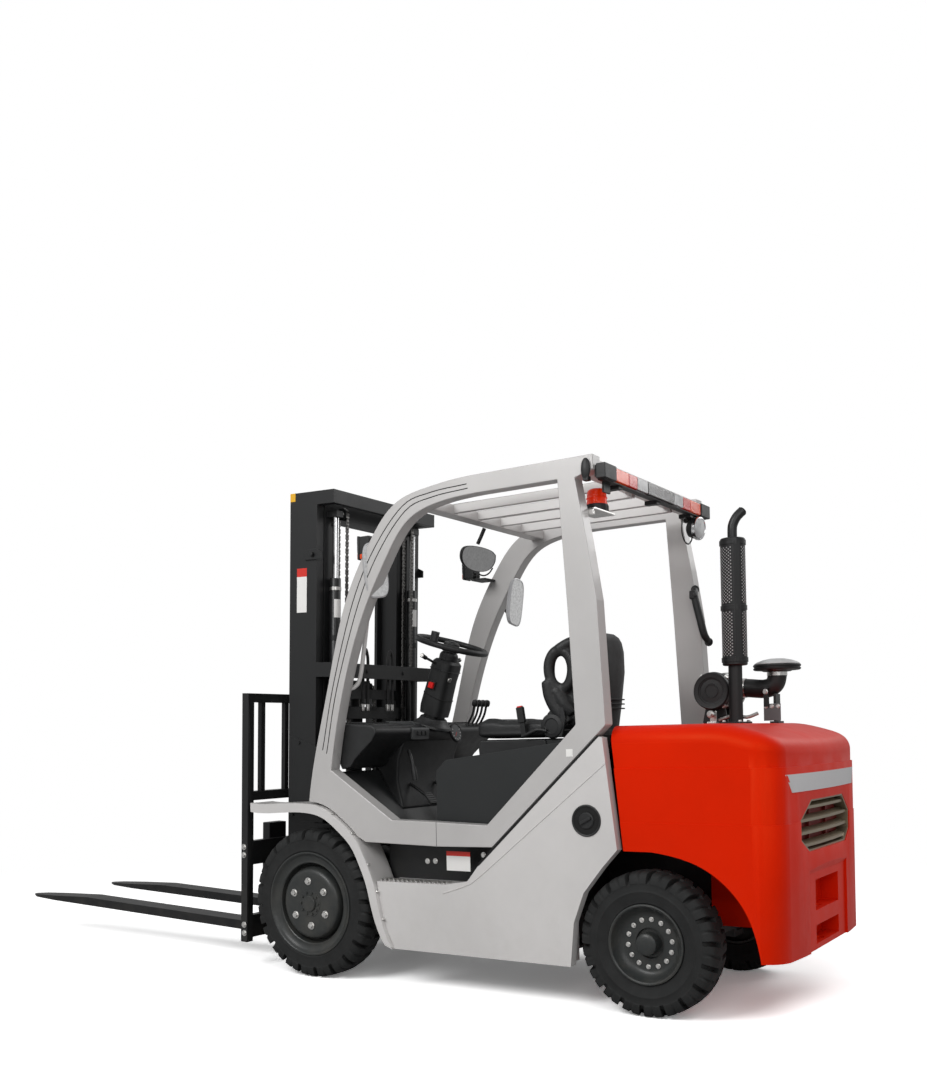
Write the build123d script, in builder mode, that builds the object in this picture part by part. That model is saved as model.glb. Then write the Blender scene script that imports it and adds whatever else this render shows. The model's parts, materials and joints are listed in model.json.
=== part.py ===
"""Counterbalance forklift truck: triplex mast, overhead guard, diesel engine, steered rear axle.

Millimetres. +X is forward, towards the fork tips, +Y is left and +Z is up, with z = 0 on the ground.
Truck pieces are drawn with x = 0 at the front axle. Mast pieces are drawn upright, with x = 0 at the
tilt pivot, and mast_plane then leans them back to the angle at which the truck is parked.
"""
from build123d import *
from math import cos, radians, sin, tan
import os

os.makedirs("parts", exist_ok=True)

# Wheels and axles
wheelbase = 1672
front_tyre_radius = 343
front_tyre_width = 160
front_tyre_face_y = 588
front_rim_radius = 180
rear_tyre_radius = 283
rear_tyre_width = 150
rear_tyre_face_y = 563
rear_rim_radius = 155
tyre_shoulder = 34
lug_groove_depth = 34
front_lugs = 20
front_groove_width = 24
rear_lugs = 18
rear_groove_width = 20
fit_gap = 0.3
running_gap = 0.1
axle_tube_radius = 50
differential_radius = 104
differential_half_width = 140
kingpin_y = 392
kingpin_radius = 20
knuckle_height = 150
steer_beam_depth = 110
steer_beam_height = 120
spindle_radius = 30

# Frame and body side
body_half_width = 575
side_panel_bottom = 172
side_panel_front_x = -482
side_panel_rear_x = -wheelbase + 316
side_plate_thickness = 45
tank_inner_y = 425
tank_rear_x = side_panel_rear_x + 38
step_top = 466
floor_top = 690
floor_thickness = 10
floor_rear_x = -650
frame_wall = 30
frame_bottom = 210
frame_rear_x = -wheelbase + 372
fender_outer_y = 596
fender_inner_y = 440
fender_thickness = 14
fender_lip = 42
fender_gap = 8
fender_line = [
    (0, 806),
    (-110, 782),
    (-202, 724),
    (-290, 645),
    (-342, 557),
    (-380, 470),
    (-404, 380),
    (-434, 270),
    (-482, 173),
]

# Counterweight
counterweight_rear_x = -wheelbase - 558
counterweight_half_width = body_half_width - 27
counterweight_top = 1130
counterweight_front_x = -wheelbase + 140
engine_centre_x = frame_rear_x + 305
engine_length = 560
engine_bottom = 330
exhaust_x = counterweight_front_x - 233
exhaust_y = -250
canister_x = counterweight_front_x - 113
canister_radius = 84
counterweight_corner = 110
counterweight_rear_bow = 32
counterweight_top_round = 72
arch_line = [
    (-452, -38),
    (-436, 47),
    (-398, 147),
    (-328, 237),
    (-228, 307),
    (-108, 345),
    (-28, 357),
    (88, 357),
]
lower_crease_z = 752
upper_crease_z = 962
grille_bottom = 633
grille_top = 830
grille_half_width = 337
core_half_width = 105
tow_pin_radius = 16

# Overhead guard
guard_outer_y = 575
guard_thickness = 66
guard_top = 2200
guard_rear_x = counterweight_front_x + 30
guard_bar_count = 4

# Hood, seat and controls
hood_half_width = 490
hood_front_x = -665
hood_top_front = 1001
hood_hinge_x = counterweight_front_x + 52
hood_hinge_z = 1104
hinge_pin_radius = 6
hinge_y = 300
hinge_width = 12
hood_wall = 25
seat_half_width = 225
steering_tilt = 18
steering_wheel_x = -430
steering_wheel_z = 1535
steering_wheel_radius = 170

# Mast, drawn upright
mast_tilt = 2.2
mast_half_width = 418
mast_rear_x = 115
mast_front_x = 285
mast_foot_z = 70
mast_top_z = 2290
channel_web = 14
channel_flange = 18
channel_width = 50
stage_gap = 6
inner_step = 24
foot_plate = 25
lift_cylinder_y = 315
lift_stroke = 1450
rod_top = mast_top_z - 115
carriage_lift = 1400
crossbar_rear_x = 12
chain_sheave_radius = 22
chain_width = 18
chain_sheave_y = 268
chain_sheave_x = 77
chain_thickness = 8
free_sheave_radius = 40
crossbar_thickness = 30
lift_cylinder_x = 83
lift_cylinder_radius = 26
lift_rod_radius = 16
lift_barrel_top = 1880
free_cylinder_radius = 42
free_cylinder_x = 212
free_barrel_top = 1240
tilt_eye_x = -22
tilt_eye_z = 600
tilt_cylinder_y = 250
tilt_anchor_x = -600
tilt_anchor_z = 440
tilt_barrel_radius = 34
tilt_rod_radius = 16
tilt_pin_radius = 14
tilt_eye_clearance = 2.5

# Carriage and forks, drawn upright
carriage_half_width = 545
fork_face_x = 520
fork_length = 1900
fork_width = 122
fork_thickness = 46
fork_bottom_z = 112
fork_centre_y = 285
shank_height = 560
backrest_top_z = 1320
bar_depth = 34

lean = radians(mast_tilt)
fork_tip_x = (fork_face_x + fork_length) * cos(lean) + (front_tyre_radius - fork_bottom_z) * sin(lean)
front_axle_x = -(fork_tip_x + counterweight_rear_x) / 2
mast_up = Vector(-sin(lean), 0, cos(lean))
tilt_pivot = Vector(front_axle_x, 0, front_tyre_radius)
truck_plane = Plane(origin=(front_axle_x, 0, 0))
mast_plane = Plane(
    origin=tilt_pivot - mast_up * front_tyre_radius,
    x_dir=(cos(lean), 0, sin(lean)),
    z_dir=mast_up,
)


def save(piece, name, plane=truck_plane):
    """Place a finished piece by its plane, label it and write its file."""
    piece.part = plane.from_local_coords(piece.part)
    piece.part.label = name
    export_step(piece.part, f"parts/{name}.step")


def side_name(side):
    return "left" if side > 0 else "right"


def make_tyre(name, x, side, face_y, radius, width, rim_radius, lugs, groove_width):
    """A faceted tyre with sloping shoulders, cut into lugs by grooves staggered between its two sides."""
    centre_y = side * (face_y - width / 2)
    half = width / 2
    facets = 2 * lugs
    with BuildPart() as tyre:
        with BuildSketch(Plane.XZ):
            RegularPolygon(radius, facets, rotation=90)
        extrude(amount=half - tyre_shoulder, both=True)
        for face in (1, -1):
            with BuildSketch(Plane.XZ.offset(-face * (half - tyre_shoulder))):
                RegularPolygon(radius, facets, rotation=90)
            with BuildSketch(Plane.XZ.offset(-face * half)):
                RegularPolygon(radius - tyre_shoulder, facets, rotation=90)
            loft(ruled=True)
            with BuildSketch(Plane.XZ.offset(-face * (half + 1))):
                with PolarLocations(radius - lug_groove_depth / 2 + 5, lugs, start_angle=90 * face / lugs):
                    Rectangle(lug_groove_depth + 10, groove_width)
            extrude(amount=face * (tyre_shoulder + 8), mode=Mode.SUBTRACT)
        with BuildSketch(Plane.XZ):
            RegularPolygon(rim_radius + fit_gap, facets, major_radius=False)
        extrude(amount=half + 1, both=True, mode=Mode.SUBTRACT)
    wheel_plane = Plane(origin=(front_axle_x + x, centre_y, radius))
    save(tyre, name, wheel_plane)


def make_rim(name, x, side, face_y, radius, width, rim_radius,
             disc_inset, hub_radius, hub_reach, bolts, bolt_circle):
    """A steel wheel: a barrel inside the tyre, a dished disc, a hub cap and its ring of bolts."""
    centre_y = side * (face_y - width / 2)
    half = width / 2
    wall = 9
    disc_out = half - disc_inset
    with BuildPart() as rim:
        with BuildSketch(Plane.XY):
            with BuildLine():
                Polyline(
                    (rim_radius - wall, -half * 0.8),
                    (rim_radius, -half * 0.8),
                    (rim_radius, half * 0.8),
                    (rim_radius - wall, half * 0.8),
                    (rim_radius - wall, disc_out),
                    (bolt_circle + 22, disc_out - 18),
                    (hub_radius + 4, disc_out - 18),
                    (hub_radius, disc_out + hub_reach),
                    (0, disc_out + hub_reach),
                    (0, disc_out - 34),
                    (rim_radius - wall, disc_out - 20),
                    close=True,
                )
            make_face()
        revolve(axis=Axis.Y)
        with BuildSketch(Plane(origin=(0, disc_out - 18, 0), x_dir=(1, 0, 0), z_dir=(0, 1, 0))):
            with PolarLocations(bolt_circle, bolts):
                RegularPolygon(radius=11 if bolts < 9 else 7, side_count=6)
        extrude(amount=14)
    wheel_plane = Plane(origin=(front_axle_x + x, centre_y, radius), x_dir=(side, 0, 0), z_dir=(0, 0, 1))
    save(rim, name, wheel_plane)


def make_wheels():
    for side in (1, -1):
        where = side_name(side)
        make_tyre(f"front_tyre_{where}", 0, side, front_tyre_face_y, front_tyre_radius,
                  front_tyre_width, front_rim_radius, front_lugs, front_groove_width)
        make_rim(f"front_rim_{where}", 0, side, front_tyre_face_y, front_tyre_radius,
                 front_tyre_width, front_rim_radius, 34, 44, 26, 6, 98)
        make_tyre(f"rear_tyre_{where}", -wheelbase, side, rear_tyre_face_y, rear_tyre_radius,
                  rear_tyre_width, rear_rim_radius, rear_lugs, rear_groove_width)
        make_rim(f"rear_rim_{where}", -wheelbase, side, rear_tyre_face_y, rear_tyre_radius,
                 rear_tyre_width, rear_rim_radius, 30, 46, 34, 10, 84)


def make_drive_axle():
    """The axle tube with its differential, and a flange at each wheel."""
    disc_inner = front_tyre_face_y - 34 - 34
    with BuildPart() as axle:
        with BuildSketch(Plane.XZ):
            Circle(axle_tube_radius)
        extrude(amount=disc_inner - 90, both=True)
        with BuildSketch(Plane.XZ):
            Circle(differential_radius)
        extrude(amount=differential_half_width, both=True)
        for side in (1, -1):
            with BuildSketch(Plane.XZ.offset(side * (disc_inner - 90))):
                Circle(95)
            extrude(amount=side * (90 - running_gap))
    axle_plane = Plane(origin=(front_axle_x, 0, front_tyre_radius))
    save(axle, "drive_axle", axle_plane)


def make_steer_axle():
    """The steered axle's beam, forked at each end round its kingpin."""
    with BuildPart() as beam:
        Box(steer_beam_depth, 2 * (kingpin_y - 60), steer_beam_height)
        for side in (1, -1):
            with Locations((0, side * (kingpin_y - 20), 0)):
                Box(80, 110, knuckle_height + 60)
            with Locations((0, side * (kingpin_y + 5), 0)):
                Box(120, 100, knuckle_height + 6, mode=Mode.SUBTRACT)
            with Locations((0, side * kingpin_y, 0)):
                Cylinder(kingpin_radius, knuckle_height + 60)
    axle_plane = Plane(origin=(front_axle_x - wheelbase, 0, rear_tyre_radius))
    save(beam, "steer_axle", axle_plane)


def make_knuckle(side):
    """A knuckle: the block on the kingpin, its spindle out to the wheel and its steering arm."""
    disc_inner = rear_tyre_face_y - 30 - 34
    with BuildPart() as knuckle:
        with Locations((0, side * kingpin_y, 0)):
            Cylinder(38, knuckle_height)
        with BuildSketch(Plane.XZ.offset(-side * kingpin_y)):
            Circle(spindle_radius)
        extrude(amount=-side * (disc_inner - kingpin_y - running_gap))
        with Locations((0, side * kingpin_y, 0)):
            Cylinder(kingpin_radius + running_gap, knuckle_height, mode=Mode.SUBTRACT)
    axle_plane = Plane(origin=(front_axle_x - wheelbase, 0, rear_tyre_radius))
    save(knuckle, f"knuckle_{side_name(side)}", axle_plane)


make_wheels()
make_drive_axle()
make_steer_axle()
for side in (1, -1):
    make_knuckle(side)


def make_guard_side(side):
    """One side of the overhead guard: front pillar, roof rail, rear pillar and sill in one closed loop."""
    rail_drop = 80
    with BuildPart() as guard:
        with BuildSketch(Plane.XZ.offset(-guard_outer_y)):
            with BuildLine():
                Spline(
                    (0, 808),
                    (-50, 1054),
                    (-138, 1375),
                    (-248, 1734),
                    (-381, 1968),
                    (-553, 2142),
                    (-714, 2180),
                    (-921, guard_top - 2),
                    tangents=[(-0.13, 1), (-1, 0.03)],
                )
                Polyline(
                    (-921, guard_top - 2),
                    (guard_rear_x, guard_top),
                    (guard_rear_x, guard_top - 60),
                    (guard_rear_x + 81, guard_top - 84),
                    (guard_rear_x + 34, 1868),
                    (guard_rear_x - 4, 1627),
                    (counterweight_front_x + fit_gap, counterweight_top + 4),
                    (-997, 637),
                    (-718, 631),
                    (-330, 638),
                    (-30, 790),
                    (0, 808),
                )
            make_face()
            with BuildLine():
                Spline(
                    (-138, 961),
                    (-206, 1281),
                    (-374, 1723),
                    (-480, 1900),
                    (-620, 2060),
                    (-780, guard_top - rail_drop - 12),
                    (-960, guard_top - rail_drop),
                    tangents=[(-0.15, 1), (-1, 0.03)],
                )
                Polyline(
                    (-960, guard_top - rail_drop),
                    (guard_rear_x + 160, guard_top - rail_drop),
                    (guard_rear_x + 129, 1638),
                    (guard_rear_x + 101, 1137),
                    (-975, 728),
                    (-705, 736),
                    (-479, 740),
                    (-138, 961),
                )
            make_face(mode=Mode.SUBTRACT)
            with BuildLine():
                Spline(*[(x, z + fender_gap) for x, z in fender_line])
                Polyline(
                    (fender_line[-1][0], fender_line[-1][1] + fender_gap),
                    (100, fender_line[-1][1]),
                    (100, fender_line[0][1] + fender_gap),
                    (0, fender_line[0][1] + fender_gap),
                )
            make_face(mode=Mode.SUBTRACT)
        extrude(amount=guard_thickness)
        if side < 0:
            mirror(about=Plane.XZ, mode=Mode.REPLACE)
    save(guard, f"guard_{side_name(side)}")


def make_guard_roof():
    """The roof between the guard's sides: a front and a rear cross member joined by lengthwise bars."""
    inner_half = guard_outer_y - guard_thickness
    member_top = guard_top - 8
    front_x = -640
    rear_x = guard_rear_x + 10
    bar_width = 28
    bar_height = 40
    with BuildPart() as roof:
        with BuildSketch(Plane.XZ):
            with Locations((front_x, member_top - 66)):
                Rectangle(70, 44)
            with Locations((rear_x + 34, member_top - 32)):
                Rectangle(68, 60)
        extrude(amount=inner_half, both=True)
        with BuildSketch(Plane.XY.offset(member_top - 62 - bar_height / 2)):
            with Locations(((front_x + rear_x) / 2 + 17, 0)):
                with GridLocations(0, 2 * inner_half / (guard_bar_count + 1), 1, guard_bar_count):
                    Rectangle(abs(rear_x - front_x) - 34, bar_width)
        extrude(amount=bar_height)
    save(roof, "guard_roof")


def fender_edge(depth):
    """The fender's outline, moved in towards the wheel by a depth, with its level stretch in front."""
    moved = [(350, fender_line[0][1] - depth)]
    for x, z in fender_line:
        reach = (x * x + (z - front_tyre_radius) ** 2) ** 0.5
        moved.append((x - depth * x / reach, z - depth * (z - front_tyre_radius) / reach))
    return Spline(*moved)


def make_side_panel(side):
    """A side panel with the tank behind it, the step let into it and the arch over the front wheel."""
    with BuildPart() as panel:
        with BuildSketch(Plane.XZ.offset(-body_half_width)):
            with BuildLine():
                Polyline(
                    (side_panel_front_x, side_panel_bottom),
                    (-430, 270),
                    (-400, 380),
                    (-390, step_top),
                    (-760, step_top + 4),
                    (-870, step_top + 22),
                    (-930, 560),
                    (counterweight_front_x + 34, 1090),
                    (counterweight_front_x + 16, 1085),
                    (counterweight_front_x - 38, 646),
                    (side_panel_rear_x - 144, 570),
                    (side_panel_rear_x - 64, 470),
                    (side_panel_rear_x - 18, 350),
                    (side_panel_rear_x, side_panel_bottom),
                    close=True,
                )
            make_face()
        extrude(amount=side_plate_thickness)
        with BuildSketch(Plane.XZ.offset(-(body_half_width - side_plate_thickness))):
            with BuildLine():
                Polyline(
                    (side_panel_front_x, side_panel_bottom),
                    (side_panel_front_x + 70, step_top),
                    (-870, step_top),
                    (-930, 560),
                    (tank_rear_x, 640),
                    (tank_rear_x, side_panel_bottom),
                    close=True,
                )
            make_face()
        extrude(amount=body_half_width - side_plate_thickness - tank_inner_y - fit_gap)
        cover_wall = (fender_thickness, fender_outer_y - fender_inner_y)
        lip_wall = (fender_lip, fender_thickness)
        for depth, width in (cover_wall, lip_wall):
            with BuildSketch(Plane.XZ.offset(-fender_outer_y)):
                with BuildLine():
                    outer = fender_edge(0)
                    inner = fender_edge(depth)
                    Line(outer @ 0, inner @ 0)
                    Line(outer @ 1, inner @ 1)
                make_face()
            extrude(amount=width)
        with BuildSketch(Plane.XZ.offset(-body_half_width)):
            with Locations((side_panel_rear_x - 84, 758)):
                Circle(60)
        extrude(amount=side_plate_thickness - 12, mode=Mode.SUBTRACT)
        if side < 0:
            mirror(about=Plane.XZ, mode=Mode.REPLACE)
    save(panel, f"side_panel_{side_name(side)}")


def make_frame():
    """The welded frame: side walls, floor, toe plate, axle arms, tilt cylinder lugs and rear spine."""
    wall_outer = tank_inner_y
    arm_y = 178
    arm_width = 34
    lug_gap = 20
    lug_thickness = 12
    spine_bottom = rear_tyre_radius + steer_beam_height / 2 + fit_gap
    with BuildPart() as frame:
        with BuildSketch(Plane.XZ):
            with BuildLine():
                Polyline(
                    (-350, floor_top - floor_thickness),
                    (-350, 300),
                    (-430, frame_bottom),
                    (frame_rear_x, frame_bottom),
                    (frame_rear_x, 660),
                    (-960, 700),
                    (-660, floor_top - floor_thickness),
                    close=True,
                )
            make_face()
        extrude(amount=wall_outer, both=True)
        with BuildSketch(Plane.XY):
            Rectangle(4000, 2 * (wall_outer - frame_wall))
        extrude(amount=1200, mode=Mode.SUBTRACT)
        with BuildSketch(Plane.XZ):
            with BuildLine():
                Polyline(
                    (floor_rear_x, floor_top - floor_thickness),
                    (-352, floor_top - floor_thickness),
                    (-130, 945),
                    (-138, 952),
                    (-356, floor_top),
                    (floor_rear_x, floor_top),
                    close=True,
                )
            make_face()
        extrude(amount=guard_outer_y - guard_thickness, both=True)
        with BuildSketch(Plane.YZ.offset(-640)):
            with Locations((0, 400)):
                Rectangle(2 * wall_outer - 2, 180)
        extrude(amount=-20)
        with BuildSketch(Plane.XY.offset(frame_bottom)):
            with Locations(((frame_rear_x - 640) / 2, 0)):
                Rectangle(abs(frame_rear_x + 640), 2 * wall_outer - 2)
        extrude(amount=12)
        with BuildSketch(Plane.XY.offset(frame_bottom)):
            with Locations((engine_centre_x, 0)):
                with GridLocations(engine_length - 120, 0, 2, 1):
                    Rectangle(50, 2 * wall_outer - 2)
        extrude(amount=engine_bottom - frame_bottom - fit_gap)
        for arm in (1, -1):
            with BuildSketch(Plane.XZ.offset(arm * arm_y - arm_width / 2)):
                with BuildLine():
                    Polyline(
                        (-650, 310),
                        (48, 310),
                        (60, 343),
                        (48, 430),
                        (-650, 480),
                        close=True,
                    )
                make_face()
                with Locations((0, front_tyre_radius)):
                    Circle(axle_tube_radius + fit_gap, mode=Mode.SUBTRACT)
            extrude(amount=arm_width)
            for ear in (1, -1):
                ear_y = arm * tilt_cylinder_y + ear * (lug_gap + lug_thickness / 2)
                with BuildSketch(Plane.XZ.offset(-ear_y - lug_thickness / 2)):
                    with Locations((tilt_anchor_x - 10, tilt_anchor_z)):
                        Rectangle(70, 60)
                extrude(amount=lug_thickness)
            with BuildSketch(Plane.XZ.offset(-arm * tilt_cylinder_y)):
                with Locations((tilt_anchor_x, tilt_anchor_z)):
                    Circle(tilt_pin_radius)
            extrude(amount=lug_gap + lug_thickness, both=True)
        with BuildSketch(Plane.XY.offset(spine_bottom)):
            with Locations((frame_rear_x - 230, 0)):
                Rectangle(480, 2 * 96)
        extrude(amount=600 - spine_bottom)
        with BuildSketch(Plane.XY.offset(400)):
            with Locations((frame_rear_x + 10, 0)):
                Rectangle(20, 2 * wall_outer - 2)
        extrude(amount=200)
    save(frame, "frame")


def weight_plan(inset):
    """The counterweight's plan outline with its round rear corners, moved in by an inset."""
    half = counterweight_half_width - inset
    rear_x = counterweight_rear_x + inset
    front_x = counterweight_front_x + 60
    with BuildSketch() as plan:
        with BuildLine():
            Polyline((rear_x + counterweight_rear_bow, half), (front_x, half), (front_x, -half),
                     (rear_x + counterweight_rear_bow, -half))
            ThreePointArc((rear_x + counterweight_rear_bow, half), (rear_x, 0),
                          (rear_x + counterweight_rear_bow, -half))
        make_face()
        fillet(plan.vertices().group_by(Axis.X)[0], radius=counterweight_corner)
    return plan.sketch


def grille_outline(gap):
    """The eight-sided outline of the grille opening, drawn smaller by a gap."""
    half = grille_half_width - gap
    return Polyline(
        (-220 + gap, grille_top - gap),
        (220 - gap, grille_top - gap),
        (half, grille_top - 73),
        (half, grille_bottom + 47),
        (255 - gap, grille_bottom + gap),
        (-255 + gap, grille_bottom + gap),
        (-half, grille_bottom + 47),
        (-half, grille_top - 73),
        close=True,
    )


def make_counterweight():
    """The counterweight casting, with wheel arches, a grille opening and two pockets for the tow pin."""
    rear_axle_x = -wheelbase
    core_front_x = rear_axle_x - 98 - fit_gap
    core_bottom = 300
    pocket_half = 158
    pocket_depth = 90
    bridge_low = 338
    bridge_high = 396
    weight_bottom = 245
    channel_half = 262
    channel_depth = 16
    with BuildPart() as weight:
        with BuildSketch(Plane.XZ):
            with BuildLine():
                Line((counterweight_front_x + 60, counterweight_top),
                     (counterweight_front_x - 395, counterweight_top))
                Spline(
                    (counterweight_front_x - 395, counterweight_top),
                    (counterweight_front_x - 540, counterweight_top - 24),
                    (counterweight_rear_x, counterweight_top - 88),
                    tangents=[(-1, 0), (-0.85, -0.52)],
                )
                Polyline(
                    (counterweight_rear_x, counterweight_top - 88),
                    (counterweight_rear_x, upper_crease_z - 1),
                    (counterweight_front_x + 60, upper_crease_z - 1),
                    (counterweight_front_x + 60, counterweight_top),
                )
            make_face()
        extrude(amount=counterweight_half_width, both=True)
        extrude(weight_plan(8), amount=1300, mode=Mode.INTERSECT)
        crown = weight.edges().filter_by(lambda edge: edge.center().Z > upper_crease_z + 60)
        crown = crown.filter_by(lambda edge: edge.center().X < counterweight_front_x + 59)
        rear_edge_x = counterweight_rear_x + 60
        rim = crown.filter_by(lambda edge: abs(edge.center().Y) > 1 or edge.center().X < rear_edge_x)
        fillet(rim, radius=counterweight_top_round)
        with BuildSketch(Plane.XY.offset(lower_crease_z)):
            add(weight_plan(2))
        extrude(amount=upper_crease_z - lower_crease_z)
        with BuildSketch(Plane.XY.offset(weight_bottom)):
            add(weight_plan(0))
        extrude(amount=lower_crease_z - weight_bottom)
        with BuildSketch(Plane.XZ):
            with BuildLine():
                Spline(*[(rear_axle_x + x, rear_tyre_radius + z) for x, z in arch_line[:-1]])
                Polyline(
                    (rear_axle_x + arch_line[-2][0], rear_tyre_radius + arch_line[-2][1]),
                    (rear_axle_x + arch_line[-1][0], rear_tyre_radius + arch_line[-1][1]),
                    (counterweight_front_x, counterweight_top + 1),
                    (counterweight_front_x + 100, counterweight_top + 1),
                    (counterweight_front_x + 100, weight_bottom - 1),
                    (rear_axle_x + arch_line[0][0], weight_bottom - 1),
                    (rear_axle_x + arch_line[0][0], rear_tyre_radius + arch_line[0][1]),
                )
            make_face()
        extrude(amount=counterweight_half_width + 1, both=True, mode=Mode.SUBTRACT)
        with BuildSketch(Plane.XY.offset(core_bottom)):
            with Locations((core_front_x - 200, 0)):
                Rectangle(400, 2 * core_half_width)
        extrude(amount=rear_tyre_radius + arch_line[-1][1] - core_bottom)
        with BuildSketch(Plane.YZ.offset(counterweight_rear_x - 1)):
            with BuildLine():
                grille_outline(0)
            make_face()
        extrude(amount=71, mode=Mode.SUBTRACT)
        with BuildSketch(Plane.XZ):
            with BuildLine():
                Polyline(
                    (counterweight_rear_x - 1, weight_bottom - 1),
                    (counterweight_rear_x + channel_depth, weight_bottom - 1),
                    (counterweight_rear_x + channel_depth, 545),
                    (counterweight_rear_x - 1, 575),
                    close=True,
                )
            make_face()
        extrude(amount=channel_half, both=True, mode=Mode.SUBTRACT)
        with BuildSketch(Plane.YZ.offset(counterweight_rear_x - 1)):
            with Locations((0, (bridge_high + 515) / 2)):
                Rectangle(2 * pocket_half, 515 - bridge_high)
            with Locations((0, (bridge_low + 266) / 2)):
                Rectangle(2 * pocket_half, bridge_low - 266)
        extrude(amount=pocket_depth, mode=Mode.SUBTRACT)
        with BuildSketch(Plane.XY.offset(bridge_low - 10)):
            with Locations((counterweight_rear_x + 55, 0)):
                Circle(tow_pin_radius)
        extrude(amount=bridge_high + 20 - bridge_low, mode=Mode.SUBTRACT)
        with BuildSketch(Plane.XY.offset(weight_bottom - 1)):
            with Locations((counterweight_rear_x + 55, 0)):
                Circle(tow_pin_radius + 8)
        extrude(amount=40, mode=Mode.SUBTRACT)
        for side in (1, -1):
            with BuildSketch(Plane.XZ.offset(-side * (hinge_y - 2))):
                with Locations(((counterweight_front_x - 10 + hood_hinge_x) / 2, hood_hinge_z + 3)):
                    Rectangle(hood_hinge_x - counterweight_front_x + 10, 10)
                with Locations((hood_hinge_x, hood_hinge_z)):
                    Circle(hinge_pin_radius + 2)
            extrude(amount=side * hinge_width)
            with BuildSketch(Plane.XZ.offset(-side * (hinge_y - 4))):
                with Locations((hood_hinge_x, hood_hinge_z)):
                    Circle(hinge_pin_radius)
            extrude(amount=-side * (hinge_width + 6))
    save(weight, "counterweight")


def make_rear_grille():
    """A back plate and four slats in the grille opening of the counterweight."""
    with BuildPart() as grille:
        with BuildSketch(Plane.YZ.offset(counterweight_rear_x + 40)):
            with BuildLine():
                grille_outline(fit_gap)
            make_face()
        extrude(amount=30 - fit_gap)
        with BuildSketch(Plane.XZ):
            for step in range(4):
                with Locations((counterweight_rear_x + 26, grille_bottom + 27 + 48 * step)):
                    Rectangle(34, 14, rotation=-20)
        extrude(amount=grille_half_width, both=True)
        with BuildSketch(Plane.YZ.offset(counterweight_rear_x)):
            with BuildLine():
                grille_outline(fit_gap)
            make_face()
        extrude(amount=70 - fit_gap, mode=Mode.INTERSECT)
    save(grille, "rear_grille")


def make_hood():
    """The engine hood, open below, with the pedestal that carries the seat."""
    rear_x = hood_hinge_x - 28
    with BuildPart() as hood:
        with BuildSketch(Plane.XZ):
            with BuildLine():
                Polyline(
                    (hood_front_x, 706),
                    (hood_front_x, 955),
                    (hood_front_x - 50, hood_top_front),
                    (rear_x, hood_hinge_z - 8),
                    (rear_x, 1050),
                    (-1000, 706),
                    close=True,
                )
            make_face()
        extrude(amount=hood_half_width, both=True)
        with BuildSketch(Plane.XZ):
            with BuildLine():
                Polyline(
                    (hood_front_x - hood_wall, 600),
                    (hood_front_x - hood_wall, 945),
                    (hood_front_x - hood_wall - 40, hood_top_front - hood_wall),
                    (rear_x - 20, hood_hinge_z - 8 - hood_wall),
                    (rear_x - 20, 600),
                    close=True,
                )
            make_face()
        extrude(amount=hood_half_width - hood_wall, both=True, mode=Mode.SUBTRACT)
        with BuildSketch(Plane.XY.offset(1020)):
            with Locations((-990, 0)):
                Rectangle(560, 380)
        extrude(amount=60)
        for side in (1, -1):
            with BuildSketch(Plane.XZ.offset(-side * hinge_y)):
                with Locations((hood_hinge_x, hood_hinge_z - 8)):
                    Rectangle(18, 32)
                with Locations((hood_hinge_x, hood_hinge_z)):
                    Circle(hinge_pin_radius + running_gap, mode=Mode.SUBTRACT)
            extrude(amount=-side * hinge_width)
    save(hood, "hood")


def make_seat():
    """The seat's cushion and back, as plain solids of the true outer size."""
    with BuildPart() as cushion:
        with BuildSketch(Plane.XZ):
            with BuildLine():
                Polyline(
                    (-690, 1100),
                    (-700, 1160),
                    (-860, 1168),
                    (-1068, 1150),
                    (-1068, 1080.3),
                    (-710, 1080.3),
                    close=True,
                )
            make_face()
        extrude(amount=seat_half_width, both=True)
    save(cushion, "seat_cushion")
    with BuildPart() as back:
        with BuildSketch(Plane.XZ):
            with BuildLine():
                Polyline(
                    (-1070, 1080.3),
                    (-1074, 1170),
                    (-1120, 1550),
                    (-1215, 1550),
                    (-1290, 1180),
                    (-1270, 1080.3),
                    close=True,
                )
            make_face()
        extrude(amount=seat_half_width - 10, both=True)
    save(back, "seat_back")


def make_engine():
    with BuildPart() as engine:
        with BuildSketch(Plane.XY.offset(engine_bottom)):
            with Locations((engine_centre_x, 0)):
                Rectangle(engine_length, 420)
        extrude(amount=560)
    save(engine, "engine_block")


def column_plane(x=0):
    """The plane of the steering wheel, square to the leaning column."""
    tilt = radians(steering_tilt)
    hub = Vector(x + steering_wheel_x, 0, steering_wheel_z)
    return Plane(origin=hub, x_dir=(cos(tilt), 0, sin(tilt)), z_dir=(-sin(tilt), 0, cos(tilt)))


def make_dash():
    """The dash cowl across the front of the cab, with the pedals below it."""
    with BuildPart() as dash:
        with BuildSketch(Plane.XZ):
            with BuildLine():
                Polyline(
                    (-144, 958),
                    (-60, 1150),
                    (-70, 1175),
                    (-330, 1160),
                    (-345, 1130),
                    (-270, 900),
                    (-300, 760),
                    close=True,
                )
            make_face()
        extrude(amount=240, both=True)
        with BuildSketch(Plane.XZ):
            with BuildLine():
                Polyline(
                    (-146, 960),
                    (-60, 1150),
                    (-70, 1175),
                    (-330, 1160),
                    (-345, 1130),
                    (-230, 990),
                    close=True,
                )
            make_face()
        extrude(amount=guard_outer_y - guard_thickness, both=True)
        with BuildSketch(column_plane().offset(-420 - fit_gap)):
            Rectangle(90 + 2 * fit_gap, 110 + 2 * fit_gap)
        extrude(amount=200, mode=Mode.SUBTRACT)
    save(dash, "dash")


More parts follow.
